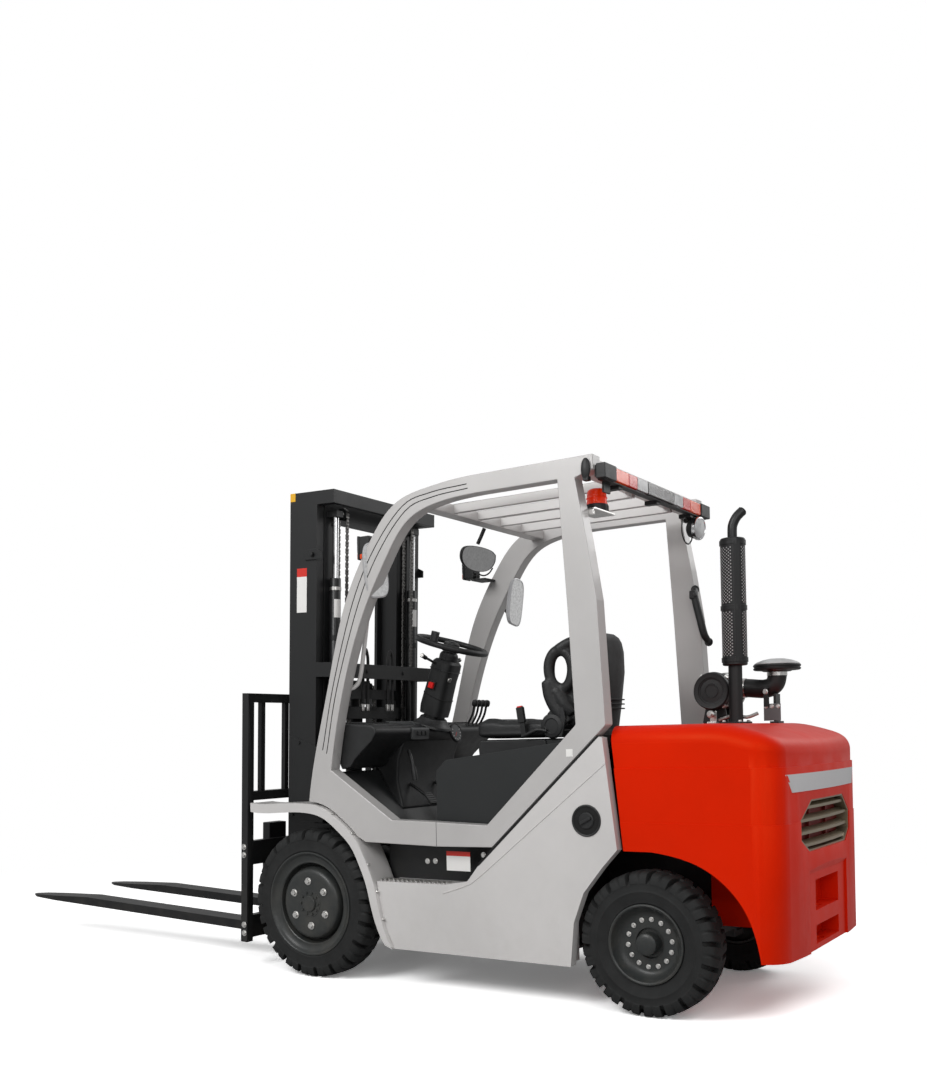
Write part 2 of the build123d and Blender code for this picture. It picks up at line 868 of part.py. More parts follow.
def make_steering():
    """The steering column and, on its own axis, the steering wheel with its knob."""
    wheel_plane = column_plane(front_axle_x)
    with BuildPart() as column:
        with BuildSketch(Plane.XY.offset(-335)):
            RectangleRounded(120, 130, 30)
        extrude(amount=275)
        with BuildSketch(Plane.XY.offset(-70)):
            Circle(34)
        extrude(amount=50 - fit_gap)
        with BuildSketch(Plane.XY.offset(-420)):
            Rectangle(90, 110)
        extrude(amount=90)
    save(column, "steering_column", wheel_plane)
    with BuildPart() as wheel:
        with BuildSketch(Plane.XZ):
            with Locations((steering_wheel_radius, 12)):
                Circle(14)
        revolve(axis=Axis.Z)
        with BuildSketch(Plane.XY.offset(-20)):
            Circle(40)
        extrude(amount=34)
        with BuildSketch(Plane.XY.offset(0)):
            with PolarLocations(steering_wheel_radius / 2, 3, start_angle=60):
                Rectangle(steering_wheel_radius, 26)
        extrude(amount=10)
        with BuildSketch(Plane.XY.offset(10)):
            with Locations((0, steering_wheel_radius - 12)):
                Circle(20)
        extrude(amount=60)
    save(wheel, "steering_wheel", wheel_plane)


def make_exhaust():
    """The exhaust stack with its guard tube and curved tail, standing on the counterweight."""
    with BuildPart() as stack:
        with BuildSketch(Plane.XY.offset(counterweight_top)):
            Rectangle(70, 110)
        extrude(amount=12)
        with BuildSketch(Plane.XY.offset(counterweight_top)):
            Circle(30)
        extrude(amount=280)
        with BuildSketch(Plane.XY.offset(1390)):
            Circle(54)
        extrude(amount=556)
        with BuildLine() as tail:
            start = Line((0, 0, 1940), (0, 0, 1985))
            TangentArc(start @ 1, (-34, -20, 2062), tangent=(0, 0, 1))
        with BuildSketch(Plane.XY.offset(1940)):
            Circle(21)
        sweep(path=tail.wires()[0])
    save(stack, "exhaust_stack", Plane(origin=(front_axle_x + exhaust_x, exhaust_y, 0)))


def make_air_cleaner():
    """The air cleaner: a canister across the truck on its saddle, an elbow and a mushroom cap."""
    cap_y = -262
    canister_length = 255
    canister_z = 1281
    cap_x = canister_x - 245
    pipe_y = -440
    pipe_radius = 42
    with BuildPart() as cleaner:
        with BuildSketch(Plane.XZ.offset(-cap_y)):
            with Locations((canister_x, canister_z)):
                Circle(canister_radius)
        extrude(amount=canister_length)
        with BuildSketch(Plane.XY.offset(counterweight_top)):
            with Locations((canister_x, cap_y - canister_length / 2)):
                Rectangle(120, 120)
        extrude(amount=100)
        with BuildSketch(Plane.YZ.offset(canister_x)):
            with Locations((pipe_y, canister_z)):
                Circle(pipe_radius)
        extrude(amount=cap_x - canister_x)
        with BuildSketch(Plane.XY.offset(canister_z)):
            with Locations((cap_x, pipe_y)):
                Circle(pipe_radius)
        extrude(amount=100)
        with BuildSketch(Plane.XY.offset(canister_z + 84)):
            with Locations((cap_x, pipe_y)):
                Circle(104)
        extrude(amount=56)
        with BuildSketch(Plane.XY.offset(counterweight_top)):
            with Locations((cap_x, pipe_y)):
                Rectangle(50, 50)
        extrude(amount=canister_z - counterweight_top)
    save(cleaner, "air_cleaner")


def make_lamps():
    """Work lamps and the light bar, all held by the guard."""
    inner_face = guard_outer_y - guard_thickness
    with BuildPart() as lamps:
        for side in (1, -1):
            with Locations((-272, side * 440, 1980)):
                Box(80, 70, 110)
            with BuildSketch(Plane.XY.offset(1915)):
                with Locations((-338, side * (inner_face + 405) / 2)):
                    Rectangle(88, inner_face - 405)
            extrude(amount=12)
            with Locations((-305, side * 440, 1930)):
                Box(24, 30, 40)
        with BuildSketch(Plane.YZ.offset(guard_rear_x)):
            with Locations((0, guard_top - 34)):
                Rectangle(1120, 44)
        extrude(amount=-20)
        with BuildSketch(Plane.XY.offset(1995)):
            with Locations((-1430, (inner_face + 340) / 2)):
                Rectangle(90, inner_face - 340)
        extrude(amount=14)
        with Locations((-1430, 400, 2050)):
            Cylinder(44, 84)
    save(lamps, "lamps")


def make_mirrors():
    """Two side mirrors on the front pillars and a wide mirror under the roof's front."""
    inner_face = guard_outer_y - guard_thickness
    with BuildPart() as mirrors:
        for side in (1, -1):
            with Locations((-400, side * (inner_face - 30), 1860)):
                Box(24, 60, 200)
    save(mirrors, "mirrors")


for side in (1, -1):
    make_guard_side(side)
    make_side_panel(side)
make_guard_roof()
make_frame()
make_counterweight()
make_rear_grille()
make_hood()
make_seat()
make_engine()
make_dash()
make_steering()
make_exhaust()
make_air_cleaner()
make_lamps()
make_mirrors()


def channel(stage, bottom, top):
    """One pair of mast channels as plan outlines: webs outside, flanges pointing in."""
    outer_y = mast_half_width - stage * (channel_width + stage_gap)
    rear_x = mast_rear_x + (inner_step if stage == 2 else 0)
    depth = mast_front_x - rear_x
    with BuildSketch(Plane.XY.offset(bottom)) as plan:
        for side in (1, -1):
            with Locations((rear_x + depth / 2, side * (outer_y - channel_width / 2))):
                Rectangle(depth, channel_width)
            with Locations((rear_x + depth / 2, side * (outer_y - channel_web - channel_width / 2))):
                Rectangle(depth - 2 * channel_flange, channel_width, mode=Mode.SUBTRACT)
    extrude(plan.sketch, amount=top - bottom)


def cross_plate(rear_x, half_width, low, high, thickness=channel_flange):
    """A plate across the mast, from low to high."""
    with BuildSketch(Plane.XY.offset(low)) as plan:
        with Locations((rear_x + thickness / 2, 0)):
            Rectangle(thickness, 2 * half_width)
    extrude(plan.sketch, amount=high - low)


def rollers(stage, heights):
    """Rollers on a stage's web that run in the channel of the stage outside it."""
    outer_y = mast_half_width - stage * (channel_width + stage_gap)
    radius = (mast_front_x - mast_rear_x) / 2 - channel_flange - fit_gap
    for side in (1, -1):
        with BuildSketch(Plane.XZ.offset(-side * (outer_y - 1))) as discs:
            for z in heights:
                with Locations(((mast_front_x + mast_rear_x) / 2, z)):
                    Circle(radius)
        extrude(discs.sketch, amount=-side * (channel_width + stage_gap - channel_web - 4))


def make_mast_outer():
    """The outer mast: channels, feet round the axle tube, bowed cross members and tilt lugs."""
    foot_outer = 398
    foot_width = 44
    ear_gap = 20
    ear_thickness = 12
    with BuildPart() as mast:
        channel(0, mast_foot_z, mast_top_z)
        for low, high in ((110, 180), (560, 700), (1400, 1470), (mast_top_z - 65, mast_top_z)):
            cross_plate(crossbar_rear_x, mast_half_width, low, high, crossbar_thickness)
            for side in (1, -1):
                with BuildSketch(Plane.XY.offset(low)):
                    with Locations(((crossbar_rear_x + mast_rear_x) / 2, side * (mast_half_width - 22))):
                        Rectangle(mast_rear_x - crossbar_rear_x, 44)
                extrude(amount=high - low)
        for side in (1, -1):
            with BuildSketch(Plane.XZ.offset(-side * foot_outer)):
                with Locations((0, front_tyre_radius)):
                    Circle(axle_tube_radius + 34)
                with Locations((mast_rear_x / 2, front_tyre_radius)):
                    Rectangle(mast_rear_x, 150)
                with Locations((0, front_tyre_radius)):
                    Circle(axle_tube_radius + running_gap, mode=Mode.SUBTRACT)
            extrude(amount=side * foot_width)
            for ear in (1, -1):
                ear_y = side * tilt_cylinder_y + ear * (ear_gap + ear_thickness / 2)
                with BuildSketch(Plane.XZ.offset(-ear_y - ear_thickness / 2)):
                    with Locations((tilt_eye_x + 5, tilt_eye_z)):
                        Rectangle(64, 54)
                extrude(amount=ear_thickness)
            with BuildSketch(Plane.XZ.offset(-side * tilt_cylinder_y)):
                with Locations((tilt_eye_x, tilt_eye_z)):
                    Circle(tilt_pin_radius)
            extrude(amount=ear_gap + ear_thickness, both=True)
    save(mast, "mast_outer", mast_plane)


def make_mast_middle():
    """The middle mast: channels, cross plates, rollers and the brackets on the lift rods."""
    inner_y = mast_half_width - 2 * channel_width - stage_gap
    with BuildPart() as mast:
        channel(1, mast_foot_z, mast_top_z)
        for low, high in ((mast_foot_z + 20, 170), (1200, 1260), (mast_top_z - 140, mast_top_z - 20)):
            cross_plate(mast_rear_x, inner_y + channel_width - channel_web, low, high)
        rollers(1, (mast_foot_z + 100, 700))
        with BuildSketch(Plane.XY.offset(rod_top)):
            for side in (1, -1):
                with Locations(((mast_rear_x + 58) / 2, side * lift_cylinder_y)):
                    Rectangle(mast_rear_x - 58 + 2, 50)
        extrude(amount=30)
    save(mast, "mast_middle", mast_plane)


def make_mast_inner():
    """The inner mast: channels, cross plates, rollers and the foot plate of the free lift cylinder."""
    inner_y = mast_half_width - 3 * channel_width - 2 * stage_gap
    rear_x = mast_rear_x + inner_step
    with BuildPart() as mast:
        channel(2, mast_foot_z, mast_top_z)
        for low, high in ((mast_foot_z, 150), (1300, 1350), (mast_top_z - 110, mast_top_z - 30)):
            cross_plate(rear_x, inner_y + channel_width - channel_web, low, high)
        with BuildSketch(Plane.XY.offset(mast_foot_z)):
            with Locations(((rear_x + mast_front_x) / 2, 0)):
                Rectangle(mast_front_x - rear_x, 2 * (inner_y + channel_width - channel_web))
        extrude(amount=foot_plate)
        rollers(2, (mast_foot_z + 100, 700))
    save(mast, "mast_inner", mast_plane)


def make_lift_cylinders():
    """The two side lift cylinders, standing on the outer mast, and their rods."""
    with BuildPart() as barrels:
        for side in (1, -1):
            with BuildSketch(Plane.XY.offset(181)):
                with Locations((lift_cylinder_x, side * lift_cylinder_y)):
                    Circle(lift_cylinder_radius)
                    Circle(lift_rod_radius + running_gap, mode=Mode.SUBTRACT)
            extrude(amount=lift_barrel_top - 181)
            with BuildSketch(Plane.XY.offset(150)):
                with Locations(((crossbar_rear_x + crossbar_thickness + lift_cylinder_x + 20) / 2,
                                side * lift_cylinder_y)):
                    Rectangle(lift_cylinder_x + 20 - crossbar_rear_x - crossbar_thickness, 50)
            extrude(amount=31)
            with BuildSketch(Plane.XY.offset(1420)):
                with Locations(((crossbar_rear_x + crossbar_thickness + lift_cylinder_x) / 2,
                                side * lift_cylinder_y)):
                    Rectangle(lift_cylinder_x - crossbar_rear_x - crossbar_thickness, 40)
                with Locations((lift_cylinder_x, side * lift_cylinder_y)):
                    Circle(lift_cylinder_radius - 2, mode=Mode.SUBTRACT)
            extrude(amount=30)
    save(barrels, "lift_cylinders", mast_plane)
    with BuildPart() as rods:
        for side in (1, -1):
            with BuildSketch(Plane.XY.offset(lift_barrel_top - 10 - lift_stroke)):
                with Locations((lift_cylinder_x, side * lift_cylinder_y)):
                    Circle(lift_rod_radius)
            extrude(amount=rod_top - lift_barrel_top + 10 + lift_stroke)
    save(rods, "lift_rods", mast_plane)


def make_free_lift():
    """The free lift cylinder on the inner mast's foot plate, and its rod with the twin chain sheaves."""
    base = mast_foot_z + foot_plate
    rod_radius = 24
    with BuildPart() as barrel:
        with BuildSketch(Plane.XY.offset(base)):
            with Locations((free_cylinder_x, 0)):
                Circle(free_cylinder_radius)
        extrude(amount=40)
        with BuildSketch(Plane.XY.offset(base + 40)):
            with Locations((free_cylinder_x, 0)):
                Circle(free_cylinder_radius)
                Circle(rod_radius + running_gap, mode=Mode.SUBTRACT)
        extrude(amount=free_barrel_top - base - 40)
    save(barrel, "free_lift_cylinder", mast_plane)
    with BuildPart() as head:
        with BuildSketch(Plane.XY.offset(free_barrel_top - 10 - carriage_lift / 2)):
            with Locations((free_cylinder_x, 0)):
                Circle(rod_radius)
        extrude(amount=carriage_lift / 2 + 80)
        with BuildSketch(Plane.XY.offset(free_barrel_top + 60)):
            with Locations((free_cylinder_x, 0)):
                Rectangle(60, 180)
        extrude(amount=95)
        for side in (1, -1):
            with BuildSketch(Plane.XZ.offset(-side * 90)):
                with Locations((free_cylinder_x, free_barrel_top + 100)):
                    Circle(free_sheave_radius)
            extrude(amount=-side * 26)
    save(head, "free_lift_head", mast_plane)


def chain(sheave_x, sheave_z, inner_radius, rear_end_z, front_end_z):
    """A chain's outline over its sheave: a half ring with a run down behind and in front."""
    run_offset = inner_radius + chain_thickness / 2
    with Locations((sheave_x, sheave_z)):
        Circle(inner_radius + chain_thickness)
        Circle(inner_radius, mode=Mode.SUBTRACT)
    with Locations((sheave_x, sheave_z - 2 * inner_radius)):
        Rectangle(8 * inner_radius, 4 * inner_radius, mode=Mode.SUBTRACT)
    with Locations((sheave_x - run_offset, (sheave_z + rear_end_z) / 2)):
        Rectangle(chain_thickness, sheave_z - rear_end_z)
    with Locations((sheave_x + run_offset, (sheave_z + front_end_z) / 2)):
        Rectangle(chain_thickness, sheave_z - front_end_z)


def make_chains():
    """The side lift chains over sheaves on the middle mast, and the carriage chains over the lift head."""
    sheave_z = mast_top_z - 95
    anchor_z = 1480
    bracket_y = chain_sheave_y + chain_width / 2
    with BuildPart() as lift_chains:
        for side in (1, -1):
            with BuildSketch(Plane.XZ.offset(-side * (chain_sheave_y - chain_width / 2))) as runs:
                chain(chain_sheave_x, sheave_z, chain_sheave_radius, anchor_z, 130)
                with Locations((chain_sheave_x, sheave_z)):
                    Circle(chain_sheave_radius)
            extrude(runs.sketch, amount=-side * chain_width)
            with BuildSketch(Plane.XZ.offset(-side * bracket_y)) as bracket:
                with Locations(((chain_sheave_x - 14 + mast_rear_x) / 2, sheave_z)):
                    Rectangle(mast_rear_x - chain_sheave_x + 14, 32)
            extrude(bracket.sketch, amount=-side * 8)
    save(lift_chains, "lift_chains", mast_plane)
    head_sheave_z = free_barrel_top + 100
    with BuildPart() as carriage_chains:
        for side in (1, -1):
            with BuildSketch(Plane.XZ.offset(-side * 94)) as runs:
                chain(free_cylinder_x, head_sheave_z, free_sheave_radius + running_gap, 690, 545)
            extrude(runs.sketch, amount=-side * chain_width)
    save(carriage_chains, "carriage_chains", mast_plane)


def make_carriage():
    """The fork carriage: roller plates, two bars, the load backrest and its posts."""
    plate_y = mast_half_width - 3 * (channel_width + stage_gap) - 8
    plate_thickness = 16
    rear_x = mast_rear_x + inner_step + channel_flange + 8
    bar_rear_x = fork_face_x - fork_thickness - bar_depth
    roller_x = (mast_front_x + mast_rear_x + inner_step) / 2
    roller_radius = (mast_front_x - mast_rear_x - inner_step) / 2 - channel_flange - fit_gap
    post_width = 42
    post_depth = 40
    with BuildPart() as carriage:
        for side in (1, -1):
            with BuildSketch(Plane.XZ.offset(-side * plate_y)):
                with BuildLine():
                    Polyline(
                        (rear_x, 210),
                        (rear_x, 720),
                        (mast_front_x + 20, 720),
                        (bar_rear_x + 1, 600),
                        (bar_rear_x + 1, 122),
                        (mast_front_x + 20, 122),
                        (mast_front_x + 20, 210),
                        close=True,
                    )
                make_face()
            extrude(amount=side * plate_thickness)
            with BuildSketch(Plane.XZ.offset(-side * (plate_y - 1))):
                for z in (275, 650):
                    with Locations((roller_x, z)):
                        Circle(roller_radius)
            extrude(amount=-side * (channel_width - channel_web + 3))
            with BuildSketch(Plane.XY.offset(104)):
                post_x = bar_rear_x + bar_depth - post_depth / 2
                with Locations((post_x, side * (carriage_half_width - post_width / 2))):
                    Rectangle(post_depth, post_width)
            extrude(amount=backrest_top_z - 104)
        for low, high in ((122, 232), (480, 596)):
            with BuildSketch(Plane.XY.offset(low)):
                with Locations((bar_rear_x + bar_depth / 2, 0)):
                    Rectangle(bar_depth, 2 * carriage_half_width - 2)
            extrude(amount=high - low)
        for low, high in ((796, 840), (backrest_top_z - 44, backrest_top_z)):
            with BuildSketch(Plane.XY.offset(low)):
                with Locations((bar_rear_x + bar_depth - post_depth / 2, 0)):
                    Rectangle(post_depth, 2 * carriage_half_width - 2)
            extrude(amount=high - low)
        chain_front_x = free_cylinder_x + free_sheave_radius + running_gap + chain_thickness
        with BuildSketch(Plane.XY.offset(500)):
            with Locations(((chain_front_x + 8 + bar_rear_x + 1) / 2, 0)):
                with GridLocations(0, 206, 1, 2):
                    Rectangle(bar_rear_x + 1 - chain_front_x - 8, 30)
        extrude(amount=30)
        with BuildSketch(Plane.XY.offset(800)):
            with Locations((bar_rear_x + bar_depth - post_depth / 2, 0)):
                with GridLocations(0, 2 * carriage_half_width / 6.34, 1, 6):
                    Rectangle(24, 28)
        extrude(amount=backrest_top_z - 810)
    save(carriage, "carriage", mast_plane)


def make_fork(side):
    """One fork: shank with its hooks, heel and a blade that thins and narrows to its tip."""
    shank_rear_x = fork_face_x - fork_thickness
    tip_x = fork_face_x + fork_length
    tip_thickness = 12
    taper_length = 520
    heel = 60
    with BuildPart() as fork:
        with BuildSketch(Plane.XZ):
            with BuildLine():
                Polyline(
                    (shank_rear_x, fork_bottom_z + heel),
                    (shank_rear_x, fork_bottom_z + shank_height),
                    (fork_face_x, fork_bottom_z + shank_height),
                    (fork_face_x, fork_bottom_z + fork_thickness),
                    (tip_x - taper_length, fork_bottom_z + fork_thickness),
                    (tip_x, fork_bottom_z + tip_thickness),
                    (tip_x, fork_bottom_z),
                    (shank_rear_x + heel, fork_bottom_z),
                    close=True,
                )
            make_face()
        extrude(amount=fork_width / 2, both=True)
        with BuildSketch(Plane.XY):
            with BuildLine():
                Polyline(
                    (shank_rear_x - 1, -fork_width / 2),
                    (tip_x - 240, -fork_width / 2),
                    (tip_x - 60, -fork_width / 2 + 18),
                    (tip_x, -12),
                    (tip_x, 12),
                    (tip_x - 60, fork_width / 2 - 18),
                    (tip_x - 240, fork_width / 2),
                    (shank_rear_x - 1, fork_width / 2),
                    close=True,
                )
            make_face()
        extrude(amount=1500, mode=Mode.INTERSECT)
    fork_plane = mast_plane.shift_origin(mast_plane.from_local_coords(Vector(0, side * fork_centre_y, 0)))
    save(fork, f"fork_{side_name(side)}", fork_plane)


def make_tilt_cylinder(side):
    """A tilt cylinder: its barrel on the frame's lugs and its rod out to the eye on the mast."""
    eye = mast_plane.from_local_coords(Vector(tilt_eye_x, side * tilt_cylinder_y, tilt_eye_z))
    anchor = Vector(front_axle_x + tilt_anchor_x, side * tilt_cylinder_y, tilt_anchor_z)
    along = eye - anchor
    length = along.length
    cylinder_plane = Plane(origin=anchor, x_dir=(0, 1, 0), z_dir=along.normalized())
    barrel_end = length - 150
    eye_width = 36
    with BuildPart() as barrel:
        with BuildSketch(Plane.XY.offset(40)):
            Circle(tilt_barrel_radius)
        extrude(amount=40)
        with BuildSketch(Plane.XY.offset(80)):
            Circle(tilt_barrel_radius)
            Circle(tilt_rod_radius + running_gap, mode=Mode.SUBTRACT)
        extrude(amount=barrel_end - 80)
        with BuildSketch(Plane.YZ):
            Circle(28)
            with Locations((0, 24)):
                Rectangle(44, 48)
            Circle(tilt_pin_radius + running_gap, mode=Mode.SUBTRACT)
        extrude(amount=eye_width / 2, both=True)
    save(barrel, f"tilt_cylinder_{side_name(side)}", cylinder_plane)
    with BuildPart() as rod:
        with BuildSketch(Plane.XY.offset(barrel_end - 160)):
            Circle(tilt_rod_radius)
        extrude(amount=length - barrel_end + 160 - 18)
        with BuildSketch(Plane.YZ):
            with Locations((0, length)):
                Circle(26)
                Circle(tilt_pin_radius + tilt_eye_clearance, mode=Mode.SUBTRACT)
        extrude(amount=eye_width / 2, both=True)
    save(rod, f"tilt_rod_{side_name(side)}", cylinder_plane)


make_mast_outer()
make_mast_middle()
make_mast_inner()
make_lift_cylinders()
make_free_lift()
make_chains()
make_carriage()
for side in (1, -1):
    make_fork(side)
    make_tilt_cylinder(side)
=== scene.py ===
"""The looks of a counterbalance forklift truck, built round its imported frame.

Shapes are drawn in millimetres and scaled to metres as they are placed. In TRUCK space x is 0 at the front axle.
In MAST space the mast stands upright, with x = 0 at its tilt pivot and z = 0 on the ground below it.
"""
import json
import math
import random

import bmesh
import bpy
from mathutils import Matrix, Vector


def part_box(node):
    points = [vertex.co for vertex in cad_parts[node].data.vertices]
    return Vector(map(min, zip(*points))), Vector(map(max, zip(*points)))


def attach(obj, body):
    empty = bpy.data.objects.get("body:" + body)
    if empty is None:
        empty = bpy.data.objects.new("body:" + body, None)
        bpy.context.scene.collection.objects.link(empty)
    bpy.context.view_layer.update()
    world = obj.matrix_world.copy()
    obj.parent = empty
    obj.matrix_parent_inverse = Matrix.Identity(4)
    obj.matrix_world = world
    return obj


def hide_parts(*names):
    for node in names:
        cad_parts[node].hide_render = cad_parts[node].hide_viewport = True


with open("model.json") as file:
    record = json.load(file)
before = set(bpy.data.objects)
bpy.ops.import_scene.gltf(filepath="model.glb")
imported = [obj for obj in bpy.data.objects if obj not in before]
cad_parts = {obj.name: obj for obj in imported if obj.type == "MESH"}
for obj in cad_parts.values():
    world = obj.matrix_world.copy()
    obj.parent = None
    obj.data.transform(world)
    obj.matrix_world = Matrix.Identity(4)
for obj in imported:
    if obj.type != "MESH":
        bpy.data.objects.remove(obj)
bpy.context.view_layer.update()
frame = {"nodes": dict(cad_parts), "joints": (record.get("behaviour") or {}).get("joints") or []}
random.seed(7)

MM = Matrix.Scale(0.001, 4)


def centre(node):
    low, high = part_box(node)
    return (low + high) / 2


front_wheel = centre("front_tyre_left")
rear_wheel = centre("rear_tyre_left")
TRUCK = Matrix.Translation((front_wheel.x, 0, 0)) @ MM
lift_axis = Vector(next(joint["axis"] for joint in frame["joints"] if joint["name"] == "mast_lift"))
lean = math.atan2(-lift_axis.x, lift_axis.z)
TILT_PIVOT = Matrix.Translation((front_wheel.x, 0, front_wheel.z))
MAST = TILT_PIVOT @ Matrix.Rotation(-lean, 4, "Y") @ Matrix.Translation((0, 0, -front_wheel.z)) @ MM


def place(origin, x_axis, z_axis):
    """A local frame at origin, with its x and z along the given directions."""
    z = Vector(z_axis).normalized()
    y = z.cross(Vector(x_axis)).normalized()
    x = y.cross(z)
    turn = Matrix((x, y, z)).transposed().to_4x4()
    return Matrix.Translation(origin) @ turn


# Materials


def nodes_of(material):
    return material.node_tree.nodes, material.node_tree.links


def new_material(name, color, roughness=0.5, metallic=0.0, coat=0.0, specular=0.5):
    material = bpy.data.materials.new(name)
    material.use_nodes = True
    shader = material.node_tree.nodes["Principled BSDF"]
    shader.inputs["Base Color"].default_value = (*color, 1)
    shader.inputs["Roughness"].default_value = roughness
    shader.inputs["Metallic"].default_value = metallic
    shader.inputs["Coat Weight"].default_value = coat
    shader.inputs["Coat Roughness"].default_value = 0.12
    shader.inputs["Specular IOR Level"].default_value = specular
    material.diffuse_color = (*color, 1)
    return material, shader


def noise(material, scale, detail=4.0, roughness=0.55):
    nodes, links = nodes_of(material)
    place_node = nodes.new("ShaderNodeTexCoord")
    texture = nodes.new("ShaderNodeTexNoise")
    texture.inputs["Scale"].default_value = scale
    texture.inputs["Detail"].default_value = detail
    texture.inputs["Roughness"].default_value = roughness
    links.new(place_node.outputs["Object"], texture.inputs["Vector"])
    return texture.outputs["Fac"]


def ramp(material, source, stops):
    nodes, links = nodes_of(material)
    ramp_node = nodes.new("ShaderNodeValToRGB")
    elements = ramp_node.color_ramp.elements
    while len(elements) < len(stops):
        elements.new(0.5)
    for element, (position, color) in zip(elements, stops):
        element.position = position
        element.color = (*color, 1) if len(color) == 3 else color
    links.new(source, ramp_node.inputs["Fac"])
    return ramp_node.outputs["Color"]


def add_bump(material, shader, heights, strength=0.2, distance=0.001):
    """Stack several height fields into one bump, each with its own share."""
    nodes, links = nodes_of(material)
    normal = None
    for height, share in heights:
        bump = nodes.new("ShaderNodeBump")
        bump.inputs["Strength"].default_value = strength * share
        bump.inputs["Distance"].default_value = distance
        links.new(height, bump.inputs["Height"])
        if normal is not None:
            links.new(normal, bump.inputs["Normal"])
        normal = bump.outputs["Normal"]
    links.new(normal, shader.inputs["Normal"])


def shaded(color, factor):
    return tuple(min(1.0, c * factor) for c in color)


def paint(name, color, roughness, metallic=0.0, coat=0.3, orange_peel=0.06, dirt=0.0, edge=None, specular=0.5,
          tint=(1, 1, 1)):
    """A sprayed coat: a slow drift of tone, orange peel, road dust near the ground and rubbed edges."""
    material, shader = new_material(name, color, roughness, metallic, coat, specular)
    shader.inputs["Specular Tint"].default_value = (*tint, 1)
    nodes, links = nodes_of(material)
    drift = ramp(material, noise(material, 2.3, 5), [(0.3, shaded(color, 0.93)), (0.7, shaded(color, 1.05))])
    result = drift
    if edge:
        geometry = nodes.new("ShaderNodeNewGeometry")
        worn = ramp(material, geometry.outputs["Pointiness"], [(0.52, (0, 0, 0)), (0.56, (1, 1, 1))])
        spots = ramp(material, noise(material, 60, 6, 0.7), [(0.45, (0, 0, 0)), (0.62, (1, 1, 1))])
        both = nodes.new("ShaderNodeMath")
        both.operation = "MULTIPLY"
        links.new(worn, both.inputs[0])
        links.new(spots, both.inputs[1])
        mix = nodes.new("ShaderNodeMix")
        mix.data_type = "RGBA"
        mix.inputs["B"].default_value = (*edge, 1)
        links.new(both.outputs["Value"], mix.inputs["Factor"])
        links.new(result, mix.inputs["A"])
        result = mix.outputs["Result"]
    if dirt:
        position = nodes.new("ShaderNodeNewGeometry")
        split = nodes.new("ShaderNodeSeparateXYZ")
        links.new(position.outputs["Position"], split.inputs["Vector"])
        low = nodes.new("ShaderNodeMapRange")
        low.inputs["From Min"].default_value = 0.05
        low.inputs["From Max"].default_value = 0.75
        low.inputs["To Min"].default_value = dirt
        low.inputs["To Max"].default_value = 0.0
        links.new(split.outputs["Z"], low.inputs["Value"])
        cloud = ramp(material, noise(material, 9, 8, 0.65), [(0.42, (0, 0, 0)), (0.75, (1, 1, 1))])
        dusty = nodes.new("ShaderNodeMath")
        dusty.operation = "MULTIPLY"
        links.new(low.outputs["Result"], dusty.inputs[0])
        links.new(cloud, dusty.inputs[1])
        mix = nodes.new("ShaderNodeMix")
        mix.data_type = "RGBA"
        mix.inputs["B"].default_value = (0.22, 0.19, 0.15, 1)
        links.new(dusty.outputs["Value"], mix.inputs["Factor"])
        links.new(result, mix.inputs["A"])
        result = mix.outputs["Result"]
    links.new(result, shader.inputs["Base Color"])
    rough = nodes.new("ShaderNodeMapRange")
    rough.inputs["To Min"].default_value = roughness - 0.06
    rough.inputs["To Max"].default_value = roughness + 0.08
    links.new(noise(material, 14, 6), rough.inputs["Value"])
    links.new(rough.outputs["Result"], shader.inputs["Roughness"])
    add_bump(material, shader, [(noise(material, 420, 2), 1.0), (noise(material, 38, 3), 0.6)], orange_peel, 0.0004)
    return material


def moulded(name, color, roughness, grain=700, depth=0.35, specular=0.4):
    """Moulded plastic, rubber or vinyl with a fine grain."""
    material, shader = new_material(name, color, roughness, 0.0, 0.0, specular)
    nodes, links = nodes_of(material)
    tone = ramp(material, noise(material, 11, 6), [(0.3, shaded(color, 0.8)), (0.72, shaded(color, 1.35))])
    links.new(tone, shader.inputs["Base Color"])
    cells = nodes.new("ShaderNodeTexVoronoi")
    cells.inputs["Scale"].default_value = grain
    coordinates = nodes.new("ShaderNodeTexCoord")
    links.new(coordinates.outputs["Object"], cells.inputs["Vector"])
    add_bump(material, shader, [(cells.outputs["Distance"], 1.0), (noise(material, 25, 4), 0.5)], depth, 0.0005)
    rough = nodes.new("ShaderNodeMapRange")
    rough.inputs["To Min"].default_value = roughness - 0.1
    rough.inputs["To Max"].default_value = roughness + 0.1
    links.new(noise(material, 30, 5), rough.inputs["Value"])
    links.new(rough.outputs["Result"], shader.inputs["Roughness"])
    return material


def bare_metal(name, color, roughness, streak=90):
    """Bare or plated metal with fine streaks."""
    material, shader = new_material(name, color, roughness, 1.0)
    nodes, links = nodes_of(material)
    tone = ramp(material, noise(material, streak, 5), [(0.3, shaded(color, 0.75)), (0.7, color)])
    links.new(tone, shader.inputs["Base Color"])
    rough = nodes.new("ShaderNodeMapRange")
    rough.inputs["To Min"].default_value = max(0.04, roughness - 0.08)
    rough.inputs["To Max"].default_value = roughness + 0.12
    links.new(noise(material, streak * 2, 5), rough.inputs["Value"])
    links.new(rough.outputs["Result"], shader.inputs["Roughness"])
    add_bump(material, shader, [(noise(material, streak * 5, 3), 1.0)], 0.06, 0.0003)
    return material


